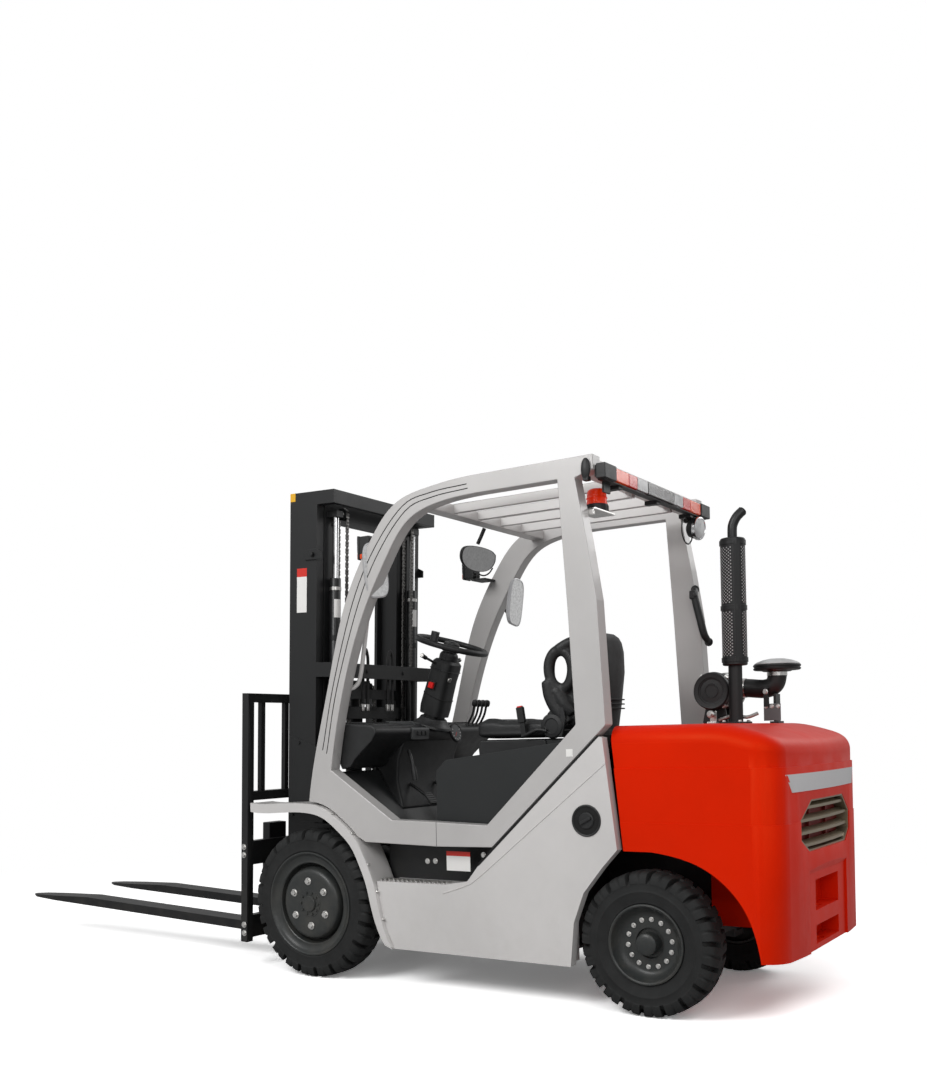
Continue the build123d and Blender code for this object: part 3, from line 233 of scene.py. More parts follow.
def lens(name, color, glow=0.0, transmission=0.55, ribs=260):
    """A clear or tinted lamp lens with moulded ribs."""
    material, shader = new_material(name, color, 0.16, 0.0, 0.4)
    nodes, links = nodes_of(material)
    shader.inputs["Transmission Weight"].default_value = transmission
    shader.inputs["IOR"].default_value = 1.49
    if glow:
        shader.inputs["Emission Color"].default_value = (*color, 1)
        shader.inputs["Emission Strength"].default_value = glow
    coordinates = nodes.new("ShaderNodeTexCoord")
    wave = nodes.new("ShaderNodeTexWave")
    wave.inputs["Scale"].default_value = ribs
    wave.bands_direction = "Z"
    links.new(coordinates.outputs["Object"], wave.inputs["Vector"])
    tone = ramp(material, noise(material, 40, 3), [(0.3, shaded(color, 0.85)), (0.7, color)])
    links.new(tone, shader.inputs["Base Color"])
    add_bump(material, shader, [(wave.outputs["Fac"], 1.0)], 0.4, 0.0006)
    return material


WARM_GLINT = (1.0, 0.42, 0.1)
SILVER = paint("silver_paint", (0.6, 0.585, 0.575), 0.36, 0.1, 0.3, 0.05, dirt=0.12)
# The same silver darkened for the guard's pillars: painted shade.
GUARD_PAINTED_SHADE_SILVER = paint("guard_silver_painted_shade", (0.48, 0.468, 0.46), 0.36, 0.1, 0.3, 0.05, dirt=0.12)
RED = paint("red_paint", (0.66, 0.013, 0.001), 0.42, 0.0, 0.0, 0.1, dirt=0.03, specular=0.2, tint=WARM_GLINT)
DARK = paint("dark_paint", (0.018, 0.0195, 0.02), 0.46, 0.0, 0.08, 0.08, dirt=0.1, specular=0.3)
BLACK = paint("black_paint", (0.0105, 0.011, 0.0115), 0.42, 0.0, 0.1, 0.05, dirt=0.1, specular=0.35)
RIM_PAINT = paint("rim_paint", (0.024, 0.0265, 0.0262), 0.42, 0.0, 0.1, 0.1, dirt=0.2, specular=0.35)
FORK_PAINT = paint("fork_paint", (0.0125, 0.013, 0.014), 0.46, 0.0, 0.0, 0.08, dirt=0.1, specular=0.25)
CAST_IRON = paint("cast_iron", (0.05, 0.05, 0.052), 0.6, 0.1, 0.0, 0.4, dirt=0.5)
RUBBER = moulded("tyre_rubber", (0.0145, 0.015, 0.015), 0.7, 900, 0.3, 0.25)
PLASTIC = moulded("black_plastic", (0.013, 0.0135, 0.014), 0.46, 800, 0.25)
GREY_PLASTIC = moulded("grey_plastic", (0.045, 0.047, 0.048), 0.5, 800, 0.2)
MAT = moulded("floor_mat", (0.026, 0.028, 0.028), 0.7, 500, 0.4, 0.3)
VINYL = moulded("seat_vinyl", (0.012, 0.0125, 0.013), 0.44, 1100, 0.4)
HOSE = moulded("hose_rubber", (0.01, 0.01, 0.0105), 0.5, 600, 0.2)
ZINC = bare_metal("zinc_bolts", (0.78, 0.77, 0.75), 0.28)
STEEL = bare_metal("worn_steel", (0.55, 0.54, 0.52), 0.3)
CHROME = bare_metal("hard_chrome", (0.85, 0.85, 0.86), 0.08)
CHAIN = bare_metal("oiled_chain", (0.16, 0.155, 0.15), 0.3, 200)
MIRROR = bare_metal("mirror_glass", (0.9, 0.9, 0.9), 0.03)
RED_LENS = lens("red_lens", (0.62, 0.012, 0.003), 0.12, 0.12)
ORANGE_LENS = lens("orange_lens", (0.8, 0.07, 0.002), 0.15, 0.12)
CLEAR_LENS = lens("clear_lens", (0.7, 0.71, 0.72), 0.0, 0.45)
DARK_LENS = lens("dark_lens", (0.12, 0.11, 0.11), 0.0, 0.3)
LABEL = paint("blank_label", (0.78, 0.77, 0.75), 0.4, 0.0, 0.1, 0.02)
LABEL_RED = paint("red_label", (0.6, 0.02, 0.01), 0.4, 0.0, 0.1, 0.02)
YELLOW = paint("yellow_marker", (0.75, 0.4, 0.01), 0.4, 0.0, 0.1, 0.02)
SWITCH_RED = moulded("switch_red", (0.7, 0.01, 0.008), 0.35, 500, 0.05)
PLATE_SILVER = paint("plate_silver", (0.66, 0.65, 0.66), 0.3, 0.2, 0.2, 0.03)
BRONZE = paint("bronze_slats", (0.3, 0.25, 0.17), 0.35, 0.6, 0.1, 0.04)
# The counterweight's red darkened for the grille's back and posts: painted shade in the recess.
RED_PAINTED_SHADE = paint("red_painted_shade", (0.2, 0.006, 0.002), 0.6, 0.0, 0.0, 0.1)
GUARD_DOTS = paint("guard_dots", (0.4, 0.4, 0.4), 0.6, 0.0, 0.0, 0.0)
DOME_GREY = moulded("dome_grey", (0.5, 0.5, 0.5), 0.35, 500, 0.05)
BRACKET_GREY = paint("bracket_grey", (0.1, 0.102, 0.105), 0.5, 0.1, 0.0, 0.05)
MIRROR_BACK = paint("mirror_back", (0.42, 0.42, 0.43), 0.3, 0.2, 0.3, 0.03)
BEACON_LENS = lens("beacon_lens", (0.85, 0.035, 0.0), 0.2, 0.12)
# Near-black painted shade for openings, recesses and grooves; also the colour of dark joints and seams.
SHADE_AND_GAP_BLACK = moulded("painted_shade_and_gap_black", (0.004, 0.004, 0.004), 0.8, 200, 0.1)


# Shapes


class Shape:
    """One piece under construction: closed forms, each with its own material, in one mesh."""

    def __init__(self):
        self.mesh = bmesh.new()
        self.materials = []

    def slot(self, material):
        if material not in self.materials:
            self.materials.append(material)
        return self.materials.index(material)

    def finish_faces(self, faces, material, at, bevel, segments=2, limit=28):
        """Move new faces into place, give them their material and round their sharp edges."""
        verts = list({v for f in faces for v in f.verts})
        if at is not None:
            bmesh.ops.transform(self.mesh, matrix=at, verts=verts)
        bmesh.ops.recalc_face_normals(self.mesh, faces=faces)
        index = self.slot(material)
        for face in faces:
            face.material_index = index
        if bevel > 0:
            sharp = [e for e in {e for f in faces for e in f.edges}
                     if len(e.link_faces) == 2 and e.calc_face_angle() > math.radians(limit)]
            made = bmesh.ops.bevel(self.mesh, geom=sharp, offset=bevel, segments=segments, profile=0.6,
                                   affect="EDGES", clamp_overlap=True)
            for face in made["faces"]:
                face.material_index = index

    def prism(self, outline, low, high, material, at=None, bevel=0.0, segments=2):
        """A closed outline in x and y, drawn up from z = low to z = high."""
        bottom = [self.mesh.verts.new((x, y, low)) for x, y in outline]
        top = [self.mesh.verts.new((x, y, high)) for x, y in outline]
        count = len(outline)
        faces = [self.mesh.faces.new(bottom[::-1]), self.mesh.faces.new(top)]
        for i in range(count):
            j = (i + 1) % count
            faces.append(self.mesh.faces.new((bottom[i], bottom[j], top[j], top[i])))
        self.finish_faces(faces, material, at, bevel, segments)

    def box(self, low, high, material, at=None, bevel=1.5, segments=2):
        (x0, y0, z0), (x1, y1, z1) = low, high
        self.prism([(x0, y0), (x1, y0), (x1, y1), (x0, y1)], z0, z1, material, at, bevel, segments)

    def side_prism(self, outline, y0, y1, material, bevel=0.0, segments=2, at=None):
        """A closed outline in x and z, drawn across from y0 to y1."""
        turn = Matrix(((1, 0, 0, 0), (0, 0, -1, 0), (0, 1, 0, 0), (0, 0, 0, 1)))
        matrix = turn if at is None else at @ turn
        self.prism(outline, -y1, -y0, material, matrix, bevel, segments)

    def lathe(self, profile, material, at=None, steps=40, bevel=0.0):
        """A profile of (radius, height) turned round local z. It closes on the axis or on itself."""
        rings = []
        for radius, height in profile:
            if radius < 1e-6:
                rings.append([self.mesh.verts.new((0, 0, height))])
                continue
            ring = []
            for k in range(steps):
                a = 2 * math.pi * k / steps
                ring.append(self.mesh.verts.new((radius * math.cos(a), radius * math.sin(a), height)))
            rings.append(ring)
        pairs = list(zip(rings, rings[1:]))
        if len(rings[0]) > 1 and len(rings[-1]) > 1:
            pairs.append((rings[-1], rings[0]))
        faces = []
        for a, b in pairs:
            for k in range(steps):
                m = (k + 1) % steps
                corners = [a[k % len(a)], a[m % len(a)], b[m % len(b)], b[k % len(b)]]
                unique = []
                for corner in corners:
                    if corner not in unique:
                        unique.append(corner)
                if len(unique) > 2:
                    faces.append(self.mesh.faces.new(unique))
        self.finish_faces(faces, material, at, bevel)

    def cylinder(self, radius, low, high, material, at=None, steps=28, bevel=1.0):
        b = min(bevel, radius * 0.4, abs(high - low) * 0.4)
        profile = [(0, low), (radius - b, low), (radius, low + b), (radius, high - b), (radius - b, high), (0, high)]
        self.lathe(profile, material, at, steps)

    def tube(self, points, radius, material, at=None, sides=12, smooth=4, ends=True):
        """A round bar or hose along a smooth line through the points."""
        path = smooth_line([Vector(p) for p in points], smooth) if smooth else [Vector(p) for p in points]
        rings = []
        normal = None
        for i, point in enumerate(path):
            ahead = path[min(i + 1, len(path) - 1)] - path[max(i - 1, 0)]
            ahead.normalize()
            if normal is None:
                normal = ahead.orthogonal().normalized()
            normal = (normal - ahead * normal.dot(ahead)).normalized()
            side = ahead.cross(normal)
            size = radius(i / (len(path) - 1)) if callable(radius) else radius
            ring = []
            for k in range(sides):
                a = 2 * math.pi * k / sides
                ring.append(self.mesh.verts.new(point + (normal * math.cos(a) + side * math.sin(a)) * size))
            rings.append(ring)
        faces = []
        for a, b in zip(rings, rings[1:]):
            for k in range(sides):
                m = (k + 1) % sides
                faces.append(self.mesh.faces.new((a[k], a[m], b[m], b[k])))
        if ends:
            faces.append(self.mesh.faces.new(rings[0][::-1]))
            faces.append(self.mesh.faces.new(rings[-1]))
        self.finish_faces(faces, material, at, 0)

    def bolt(self, at, radius, material=None, washer=True, height=None):
        """A hexagon bolt head on its washer, standing up local z."""
        metal = material or ZINC
        tall = height or radius * 0.75
        base = 0.0
        if washer:
            self.cylinder(radius * 1.35, -0.5, radius * 0.18, metal, at, 20, 0.4)
            base = radius * 0.18
        hexagon = [(radius * math.cos(math.pi * k / 3), radius * math.sin(math.pi * k / 3)) for k in range(6)]
        self.prism(hexagon, base - 0.5, base + tall, metal, at, radius * 0.1, 1)

    def grid(self, rows, material, at=None, close_rows=False, close_columns=False, caps=False, bevel=0.0):
        """A sheet of faces through rows of points, with its first and last rows filled where caps is set."""
        made = [[self.mesh.verts.new(p) for p in row] for row in rows]
        faces = []
        row_count = len(made)
        column_count = len(made[0])
        for i in range(row_count if close_rows else row_count - 1):
            for j in range(column_count if close_columns else column_count - 1):
                a, b = made[i], made[(i + 1) % row_count]
                k = (j + 1) % column_count
                faces.append(self.mesh.faces.new((a[j], a[k], b[k], b[j])))
        if caps:
            faces.append(self.mesh.faces.new(made[0][::-1]))
            faces.append(self.mesh.faces.new(made[-1]))
        self.finish_faces(faces, material, at, bevel)

    def done(self, name, body, space=TRUCK, replaces=(), angle=34, subdivide=0):
        """Turn the shape into an object in the row frame that rides on its body."""
        bmesh.ops.remove_doubles(self.mesh, verts=self.mesh.verts, dist=0.0005)
        bmesh.ops.transform(self.mesh, matrix=space, verts=self.mesh.verts)
        data = bpy.data.meshes.new(name)
        self.mesh.to_mesh(data)
        self.mesh.free()
        for material in self.materials:
            data.materials.append(material)
        data.polygons.foreach_set("use_smooth", [True] * len(data.polygons))
        data.set_sharp_from_angle(angle=math.radians(angle))
        piece = bpy.data.objects.new(name, data)
        bpy.context.scene.collection.objects.link(piece)
        if subdivide:
            modifier = piece.modifiers.new("round", "SUBSURF")
            modifier.levels = subdivide
            modifier.render_levels = subdivide
        normals = piece.modifiers.new("flat faces", "WEIGHTED_NORMAL")
        normals.keep_sharp = True
        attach(piece, body)
        if replaces:
            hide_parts(*replaces)
        return piece


def smooth_line(points, steps):
    """Catmull-Rom through the points."""
    if len(points) < 3:
        return points
    line = []
    extended = [points[0] * 2 - points[1]] + points + [points[-1] * 2 - points[-2]]
    for a, b, c, d in zip(extended, extended[1:], extended[2:], extended[3:]):
        for k in range(steps):
            t = k / steps
            line.append(0.5 * (2 * b + (c - a) * t + (2 * a - 5 * b + 4 * c - d) * t ** 2
                               + (3 * b - a - 3 * c + d) * t ** 3))
    line.append(points[-1])
    return line


def mirrored(points):
    return [(x, -y, z) for x, y, z in points]


def sides():
    return (("left", 1), ("right", -1))


# Finish of the carried-over nodes


def dress(node, material, width=1.6):
    """Give a node its finish and break its sharp edges with a small bevel."""
    piece = frame["nodes"][node]
    piece.data.materials.clear()
    piece.data.materials.append(material)
    weld = piece.modifiers.new("weld", "WELD")
    weld.merge_threshold = 0.00002
    if width:
        bevel = piece.modifiers.new("edges", "BEVEL")
        bevel.width = width / 1000
        bevel.segments = 2
        bevel.limit_method = "ANGLE"
        bevel.angle_limit = math.radians(35)
        bevel.harden_normals = True
        bevel.use_clamp_overlap = True


node_finish = {
    "silver": (SILVER, ("guard_roof", "side_panel_left", "side_panel_right"), 4.0),
    # The guard's pillars take the darkened silver, painted shade.
    "guard": (GUARD_PAINTED_SHADE_SILVER, ("guard_left", "guard_right"), 4.0),
    "red": (RED, ("counterweight",), 8.0),
    "dark": (DARK, ("hood",), 4.0),
    "black": (BLACK, ("mast_outer", "mast_middle", "mast_inner", "carriage", "lift_cylinders", "free_lift_cylinder",
                      "free_lift_head", "tilt_cylinder_left", "tilt_cylinder_right", "frame", "exhaust_stack"), 1.6),
    "forks": (FORK_PAINT, ("fork_left", "fork_right"), 3.0),
    "plastic": (PLASTIC, ("dash", "steering_column", "steering_wheel", "air_cleaner", "mirrors", "lamps",
                          "rear_grille"), 3.0),
    "vinyl": (VINYL, ("seat_cushion", "seat_back"), 6.0),
    "iron": (CAST_IRON, ("engine_block", "drive_axle", "steer_axle", "knuckle_left", "knuckle_right"), 2.0),
    "chrome": (CHROME, ("lift_rods", "tilt_rod_left", "tilt_rod_right"), 0),
    "chains": (CHAIN, ("lift_chains", "carriage_chains"), 0),
    "rubber": (RUBBER, ("front_tyre_left", "front_tyre_right", "rear_tyre_left", "rear_tyre_right"), 0),
    "rims": (RIM_PAINT, ("front_rim_left", "front_rim_right", "rear_rim_left", "rear_rim_right"), 1.0),
}
for finish, names, width in node_finish.values():
    for name in names:
        dress(name, finish, width)


# Wheels


def wheel_space(node, side):
    """A frame at a wheel's middle with z out along its axle."""
    return place(centre(node), (1, 0, 0), (0, side, 0)) @ MM


def make_tyre(end, where, side, radius, half, bead, lugs, wall):
    """A lugged tyre: a middle rib, sheared shoulder lugs staggered left to right, and a moulded side wall."""
    lug = [(radius, 0), (radius, 8), (radius, 10), (radius, 0.38 * half), (radius - 1, 0.6 * half),
           (radius - 4, 0.76 * half), (radius - 10, 0.87 * half), (radius - 20, 0.95 * half),
           (radius - 36, half - 0.4), (radius - 46, half), (radius - 49, half - 1.6)]
    groove = [(radius, 0), (radius, 8), (radius - 20, 12), (radius - 22, 0.38 * half), (radius - 24, 0.58 * half),
              (radius - 28, 0.68 * half), (radius - 33, 0.76 * half), (radius - 38, 0.83 * half),
              (radius - 44, 0.9 * half), (radius - 48, 0.95 * half), (radius - 49, half - 1.6)]
    samples = [(0.0, 0, 0), (0.03, 1, 0), (0.11, 1, 0.3), (0.19, 1, 0), (0.22, 0, 0), (0.3, 0, 0), (0.38, 0, 0),
               (0.45, 0, 0), (0.5, 0, 0), (0.53, 0, 1), (0.61, 0.3, 1), (0.69, 0, 1), (0.72, 0, 0), (0.8, 0, 0),
               (0.88, 0, 0), (0.95, 0, 0)]
    pitch = 2 * math.pi / lugs
    rows = []
    for number in range(lugs):
        for part, left, right in samples:
            angle = (number + part) * pitch
            section = []
            for face, cut in ((1, left), (-1, right)):
                points = [(a[0] + (b[0] - a[0]) * cut, a[1] + (b[1] - a[1]) * cut) for a, b in zip(lug, groove)]
                ring = []
                for r, z in points + wall + [(bead, wall[-1][1])]:
                    turn = angle + pitch * 0.2 * max(0.0, min(z, half) - 10) / half
                    ring.append((r * math.cos(turn), r * math.sin(turn), face * z))
                section.append(ring)
            rows.append(section[0][::-1] + section[1][1:])
    tyre = Shape()
    tyre.grid(rows, RUBBER, close_rows=True, close_columns=True)
    node = f"{end}_tyre_{where}"
    tyre.done(f"{node}_lugged", f"{end}_wheel_{where}", wheel_space(node, side), (node,), angle=30)


def make_front_rim(where, side):
    """The front wheel: a flared lip, a disc that stands out to the side wall, six bright nuts and a hub cap."""
    rim = Shape()
    rim.lathe([(168, -64), (180, -64), (180, 20), (186, 31), (204, 50), (220, 66), (228, 73), (236, 76), (240, 78),
               (239, 81), (234, 82), (229, 79), (226, 73), (218, 66), (206, 61), (197, 59), (191, 61), (187, 58),
               (184, 40), (178, 24), (168, 18)], RIM_PAINT, steps=72)
    rim.lathe([(0, 46), (140, 46), (158, 34), (163, 10), (170, 10), (168, 40), (163, 60), (154, 70), (140, 74),
               (120, 75), (0, 75)], RIM_PAINT, steps=72)
    rim.cylinder(63, 74, 77, RIM_PAINT, steps=40)
    rim.lathe([(0, 76), (37, 76), (37, 83), (34, 86), (12, 87), (0, 87)], RIM_PAINT, steps=36)
    for k in range(10):
        a = math.pi * k / 5
        rim.bolt(Matrix.Translation((51 * math.cos(a), 51 * math.sin(a), 76.5)), 6, RIM_PAINT, False, 6)
    for k in range(6):
        a = math.radians(90 + 60 * k + 4)
        rim.bolt(Matrix.Translation((103 * math.cos(a), 103 * math.sin(a), 75)), 13, ZINC, True, 10)
    node = f"front_rim_{where}"
    rim.done(f"{node}_disc", f"front_wheel_{where}", wheel_space(f"front_tyre_{where}", side), (node,))


def make_rear_rim(where, side):
    """The rear wheel: a rolled lip, a deep well with fourteen small bright bolts and a domed hub."""
    rim = Shape()
    rim.lathe([(0, 4), (118, 4), (146, -10), (146, -60), (155, -60), (155, 62), (157.5, 67), (156, 71), (151, 72.5),
               (146, 69), (142, 58), (134, 43), (123, 31), (113, 25), (104, 24), (60, 24), (57, 12), (0, 12)],
              RIM_PAINT, steps=72)
    rim.lathe([(0, 10), (44, 10), (44, 58), (42, 65), (36, 70), (24, 73), (0, 74)], RIM_PAINT, steps=40)
    for k in range(14):
        a = 2 * math.pi * (k + 0.3) / 14
        rim.bolt(Matrix.Translation((93 * math.cos(a), 93 * math.sin(a), 24)), 7.5, ZINC, True, 7)
    node = f"rear_rim_{where}"
    rim.done(f"{node}_disc", f"rear_wheel_{where}", wheel_space(f"rear_tyre_{where}", side), (node,))


def make_wheels():
    front_wall = [(290, 78), (262, 77.6), (252, 79.6), (247, 80), (243, 78), (236, 74), (226, 66), (200, 40),
                  (184, 22), (180.3, 16)]
    rear_wall = [(230, 73), (214, 72.6), (208, 74.6), (204, 75), (200, 73), (190, 70), (176, 66), (166, 64),
                 (160, 64), (157.6, 58)]
    for where, side in sides():
        make_tyre("front", where, side, 343, 80, 180.3, 20, front_wall)
        make_tyre("rear", where, side, 283, 75, 155.3, 18, rear_wall)
        make_front_rim(where, side)
        make_rear_rim(where, side)


make_wheels()


# Counterweight, exhaust and air cleaner

WEIGHT_REAR = -2230


def rear_face_x(y):
    """The counterweight's bowed rear face."""
    edge = max(0.0, abs(y) - 440)
    return WEIGHT_REAR + y * y / 9416 + edge * edge / 190


def make_weight_trim():
    """The blank plate across the rear and the grille's bright slats over a red back and posts darkened as painted
    shade.
    """
    plate = Shape()
    front, back = [], []
    for step in range(25):
        t = step / 24
        low = (-415 + 830 * t, 866)
        high = (-468 + 936 * t, 934)
        front.append([(rear_face_x(y) - 0.3, y, z) for y, z in (low, high)])
        back.append([(rear_face_x(y) + 6, y, z) for y, z in (high, low)])
    plate.grid([a + b for a, b in zip(front, back)], PLATE_SILVER, close_columns=True, caps=True)
    plate.done("rear_plate", "chassis")
    grille = Shape()
    outline = [(-220, 830), (220, 830), (337, 757), (337, 680), (255, 633), (-255, 633), (-337, 680), (-337, 757)]
    inner = [(y * 0.965, 731.5 + (z - 731.5) * 0.93) for y, z in outline]
    rings = []
    for loop, depth in ((outline, 4), (outline, 62), (inner, 62), (inner, 4)):
        rings.append([(rear_face_x(y) + depth, y, z) for y, z in loop])
    grille.grid([[ring[k] for ring in rings] for k in range(8)], BRONZE, close_rows=True, close_columns=True)
    turn = Matrix(((0, 0, 1, 0), (1, 0, 0, 0), (0, 1, 0, 0), (0, 0, 0, 1)))
    # The back behind the slats, in red darkened as painted shade.
    grille.prism([(y * 0.99, 731.5 + (z - 731.5) * 0.98) for y, z in outline], WEIGHT_REAR + 62, WEIGHT_REAR + 69,
                 RED_PAINTED_SHADE, turn)
    for z, half in ((660, 300), (708, 324), (756, 322), (804, 250)):
        rows = []
        for step in range(13):
            y = -half + 2 * half * step / 12
            x = rear_face_x(y) + 12
            rows.append([(x, y, z - 9), (x + 34, y, z + 4), (x + 34, y, z + 13), (x, y, z + 2)])
        grille.grid(rows, BRONZE, close_columns=True, caps=True)
    # Posts behind the slats, in red darkened as painted shade.
    for y in (-120, 110):
        grille.box((WEIGHT_REAR + 48, y - 7, 640), (WEIGHT_REAR + 60, y + 7, 824), RED_PAINTED_SHADE)
    grille.done("grille_slats", "chassis", replaces=("rear_grille",))


def make_exhaust():
    """The silencer in its perforated guard, with a plain strip, two clamps, a curved tail and a foot."""
    x, y = -1765, -250
    at = Matrix.Translation((x, y, 0))
    stack = Shape()
    stack.cylinder(30, 1128, 1400, BLACK, at, 28)
    stack.box((-48, -70, 1129), (48, 70, 1140), BLACK, at)
    for bx, by in ((-36, -56), (36, -56), (-36, 56), (36, 56)):
        stack.bolt(Matrix.Translation((x + bx, y + by, 1140)), 8)
    stack.lathe([(30, 1386), (50, 1388), (54, 1392), (54, 1942), (50, 1946), (20, 1948), (20, 1942), (48, 1940),
                 (48, 1394), (30, 1394)], BLACK, at, 48)
    for z in (1412, 1640, 1926):
        stack.lathe([(54, z - 11), (57.5, z - 10), (57.5, z + 10), (54, z + 11)], BLACK, at, 48)
    for k in range(40):
        a = 2 * math.pi * k / 40
        facing = math.degrees(a) % 360
        if abs((facing - 128 + 180) % 360 - 180) < 24:
            continue
        for row in range(34):
            z = 1430 + row * 14.5 + (7.25 if k % 2 else 0)
            if abs(z - 1640) < 16 or z > 1908:
                continue
            hole = place((x + 54.2 * math.cos(a), y + 54.2 * math.sin(a), z), (0, 0, 1),
                         (math.cos(a), math.sin(a), 0))
            stack.prism([(3.1 * math.cos(t), 3.1 * math.sin(t)) for t in (0.5, 1.55, 2.6, 3.65, 4.7, 5.75)],
                        -0.6, 0.15, GUARD_DOTS, hole)
    strip = place((x + 55 * math.cos(2.23), y + 55 * math.sin(2.23), 1400), (0, 0, 1),
                  (math.cos(2.23), math.sin(2.23), 0))
    stack.box((0, -15, -1), (530, 15, 2), BLACK, strip)
    stack.tube([(0, 0, 1930), (0, 0, 1985), (-4, -3, 2012), (-18, -11, 2042), (-40, -26, 2068)], 21, BLACK, at, 22)
    # The tail's open end, closed by a near-black disc of painted shade.
    stack.tube([(-41, -27, 2069), (-41.6, -27.6, 2069.8)], 17.5, SHADE_AND_GAP_BLACK, at, 22, 0)
    stack.done("exhaust_guarded", "chassis", replaces=("exhaust_stack",))


def make_air_cleaner():
    """The air cleaner: a ribbed canister with a ringed end cap and bright latches, an elbow and a domed cap."""
    x, z = -1645, 1281
    unit = Shape()
    lie = place((x, -262, z), (1, 0, 0), (0, 1, 0))
    unit.lathe([(0, -8), (26, -8), (28, -5.5), (31, -5.5), (33, -8), (52, -9), (54, -6), (58, -5.5), (60, -2),
                (74, -1), (78, 0), (82, -3), (84, -8), (84, -30), (86, -32), (86, -42), (84, -44), (82, -60),
                (80, -150), (78, -236), (70, -252), (0, -254)], PLASTIC, lie, 56)
    for k in range(10):
        a = 2 * math.pi * k / 10 + 0.3
        at = lie @ Matrix.Rotation(a, 4, "Z") @ Matrix.Translation((81, 0, -118))
        unit.box((-3, -2.5, -62), (3, 2.5, 62), PLASTIC, at, 0.8, 1)
    for a in (0.5, 2.2, 3.9, 5.4):
        at = lie @ Matrix.Rotation(a, 4, "Z") @ Matrix.Translation((86, 0, -38))
        unit.box((-4, -9, -22), (5, 9, 16), ZINC, at, 2)
    unit.lathe([(84, -196), (89, -196), (89, -214), (84, -214)], STEEL, lie, 48)
    unit.tube([(x + 10, -440, z + 20), (x - 110, -440, z + 12), (x - 190, -440, z + 6), (x - 232, -440, z + 24),
               (x - 245, -440, z + 62), (x - 245, -440, z + 92)], 42, PLASTIC, None, 28, 6)
    for at in (place((x - 95, -440, z + 13), (0, 0, 1), (1, 0, 0)), place((x - 245, -440, z + 70), (1, 0, 0), (0, 0, 1))):
        unit.lathe([(42, -8), (44.5, -8), (44.5, 8), (42, 8)], ZINC, at, 32)
    cap = Matrix.Translation((x - 245, -440, 0))
    unit.lathe([(0, 1362), (60, 1362), (70, 1366), (98, 1368), (103, 1371), (104, 1376), (100, 1379), (100, 1382),
                (104, 1385), (104, 1391), (100, 1394), (0, 1396)], PLASTIC, cap, 56)
    unit.lathe([(0, 1393), (99, 1393), (99, 1397), (88, 1404), (64, 1413), (34, 1419), (0, 1421)], DOME_GREY, cap, 56)
    unit.box((x - 62, -450, 1129), (x + 62, -330, 1142), BLACK)
    for y in (-318, -452):
        unit.side_prism([(x - 60, 1140), (x + 60, 1140), (x + 44, 1212), (x - 44, 1212)], y - 5, y + 5, BLACK, 1.5)
    unit.side_prism([(x - 272, 1142), (x - 196, 1142), (x - 196, 1218), (x - 272, 1218)], -398, -392, BRACKET_GREY, 1.5)
    unit.box((x - 262, -470, 1129), (x - 222, -394, 1140), BLACK)
    unit.box((x - 250, -462, 1138), (x - 238, -400, 1262), BLACK)
    for bx in (-262, -234, -206):
        unit.bolt(place((x + bx, -391, 1206), (1, 0, 0), (0, 1, 0)), 7)
    unit.box((x - 220, -400, 1205), (x - 200, -380, 1290), BLACK)
    unit.bolt(place((x - 210, -379, 1272), (1, 0, 0), (0, 1, 0)), 9)
    unit.cylinder(17, 0, 34, ZINC, place((x - 8, -262, 1176), (1, 0, 0), (0, 1, 0)), 24, 3)
    unit.cylinder(11, 34, 44, ZINC, place((x - 8, -262, 1176), (1, 0, 0), (0, 1, 0)), 6, 2)
    unit.box((x - 30, -300, 1130), (x + 12, -238, 1142), ZINC)
    unit.box((x - 24, -270, 1140), (x + 6, -262, 1190), ZINC)
    unit.tube([(x - 20, -300, 1150), (x - 80, -318, 1168), (x - 140, -330, 1160), (x - 180, -360, 1176)], 8, STEEL,
              None, 10)
    unit.done("air_cleaner_ribbed", "chassis", replaces=("air_cleaner",))


make_weight_trim()
make_exhaust()
make_air_cleaner()


# Lamps and mirrors


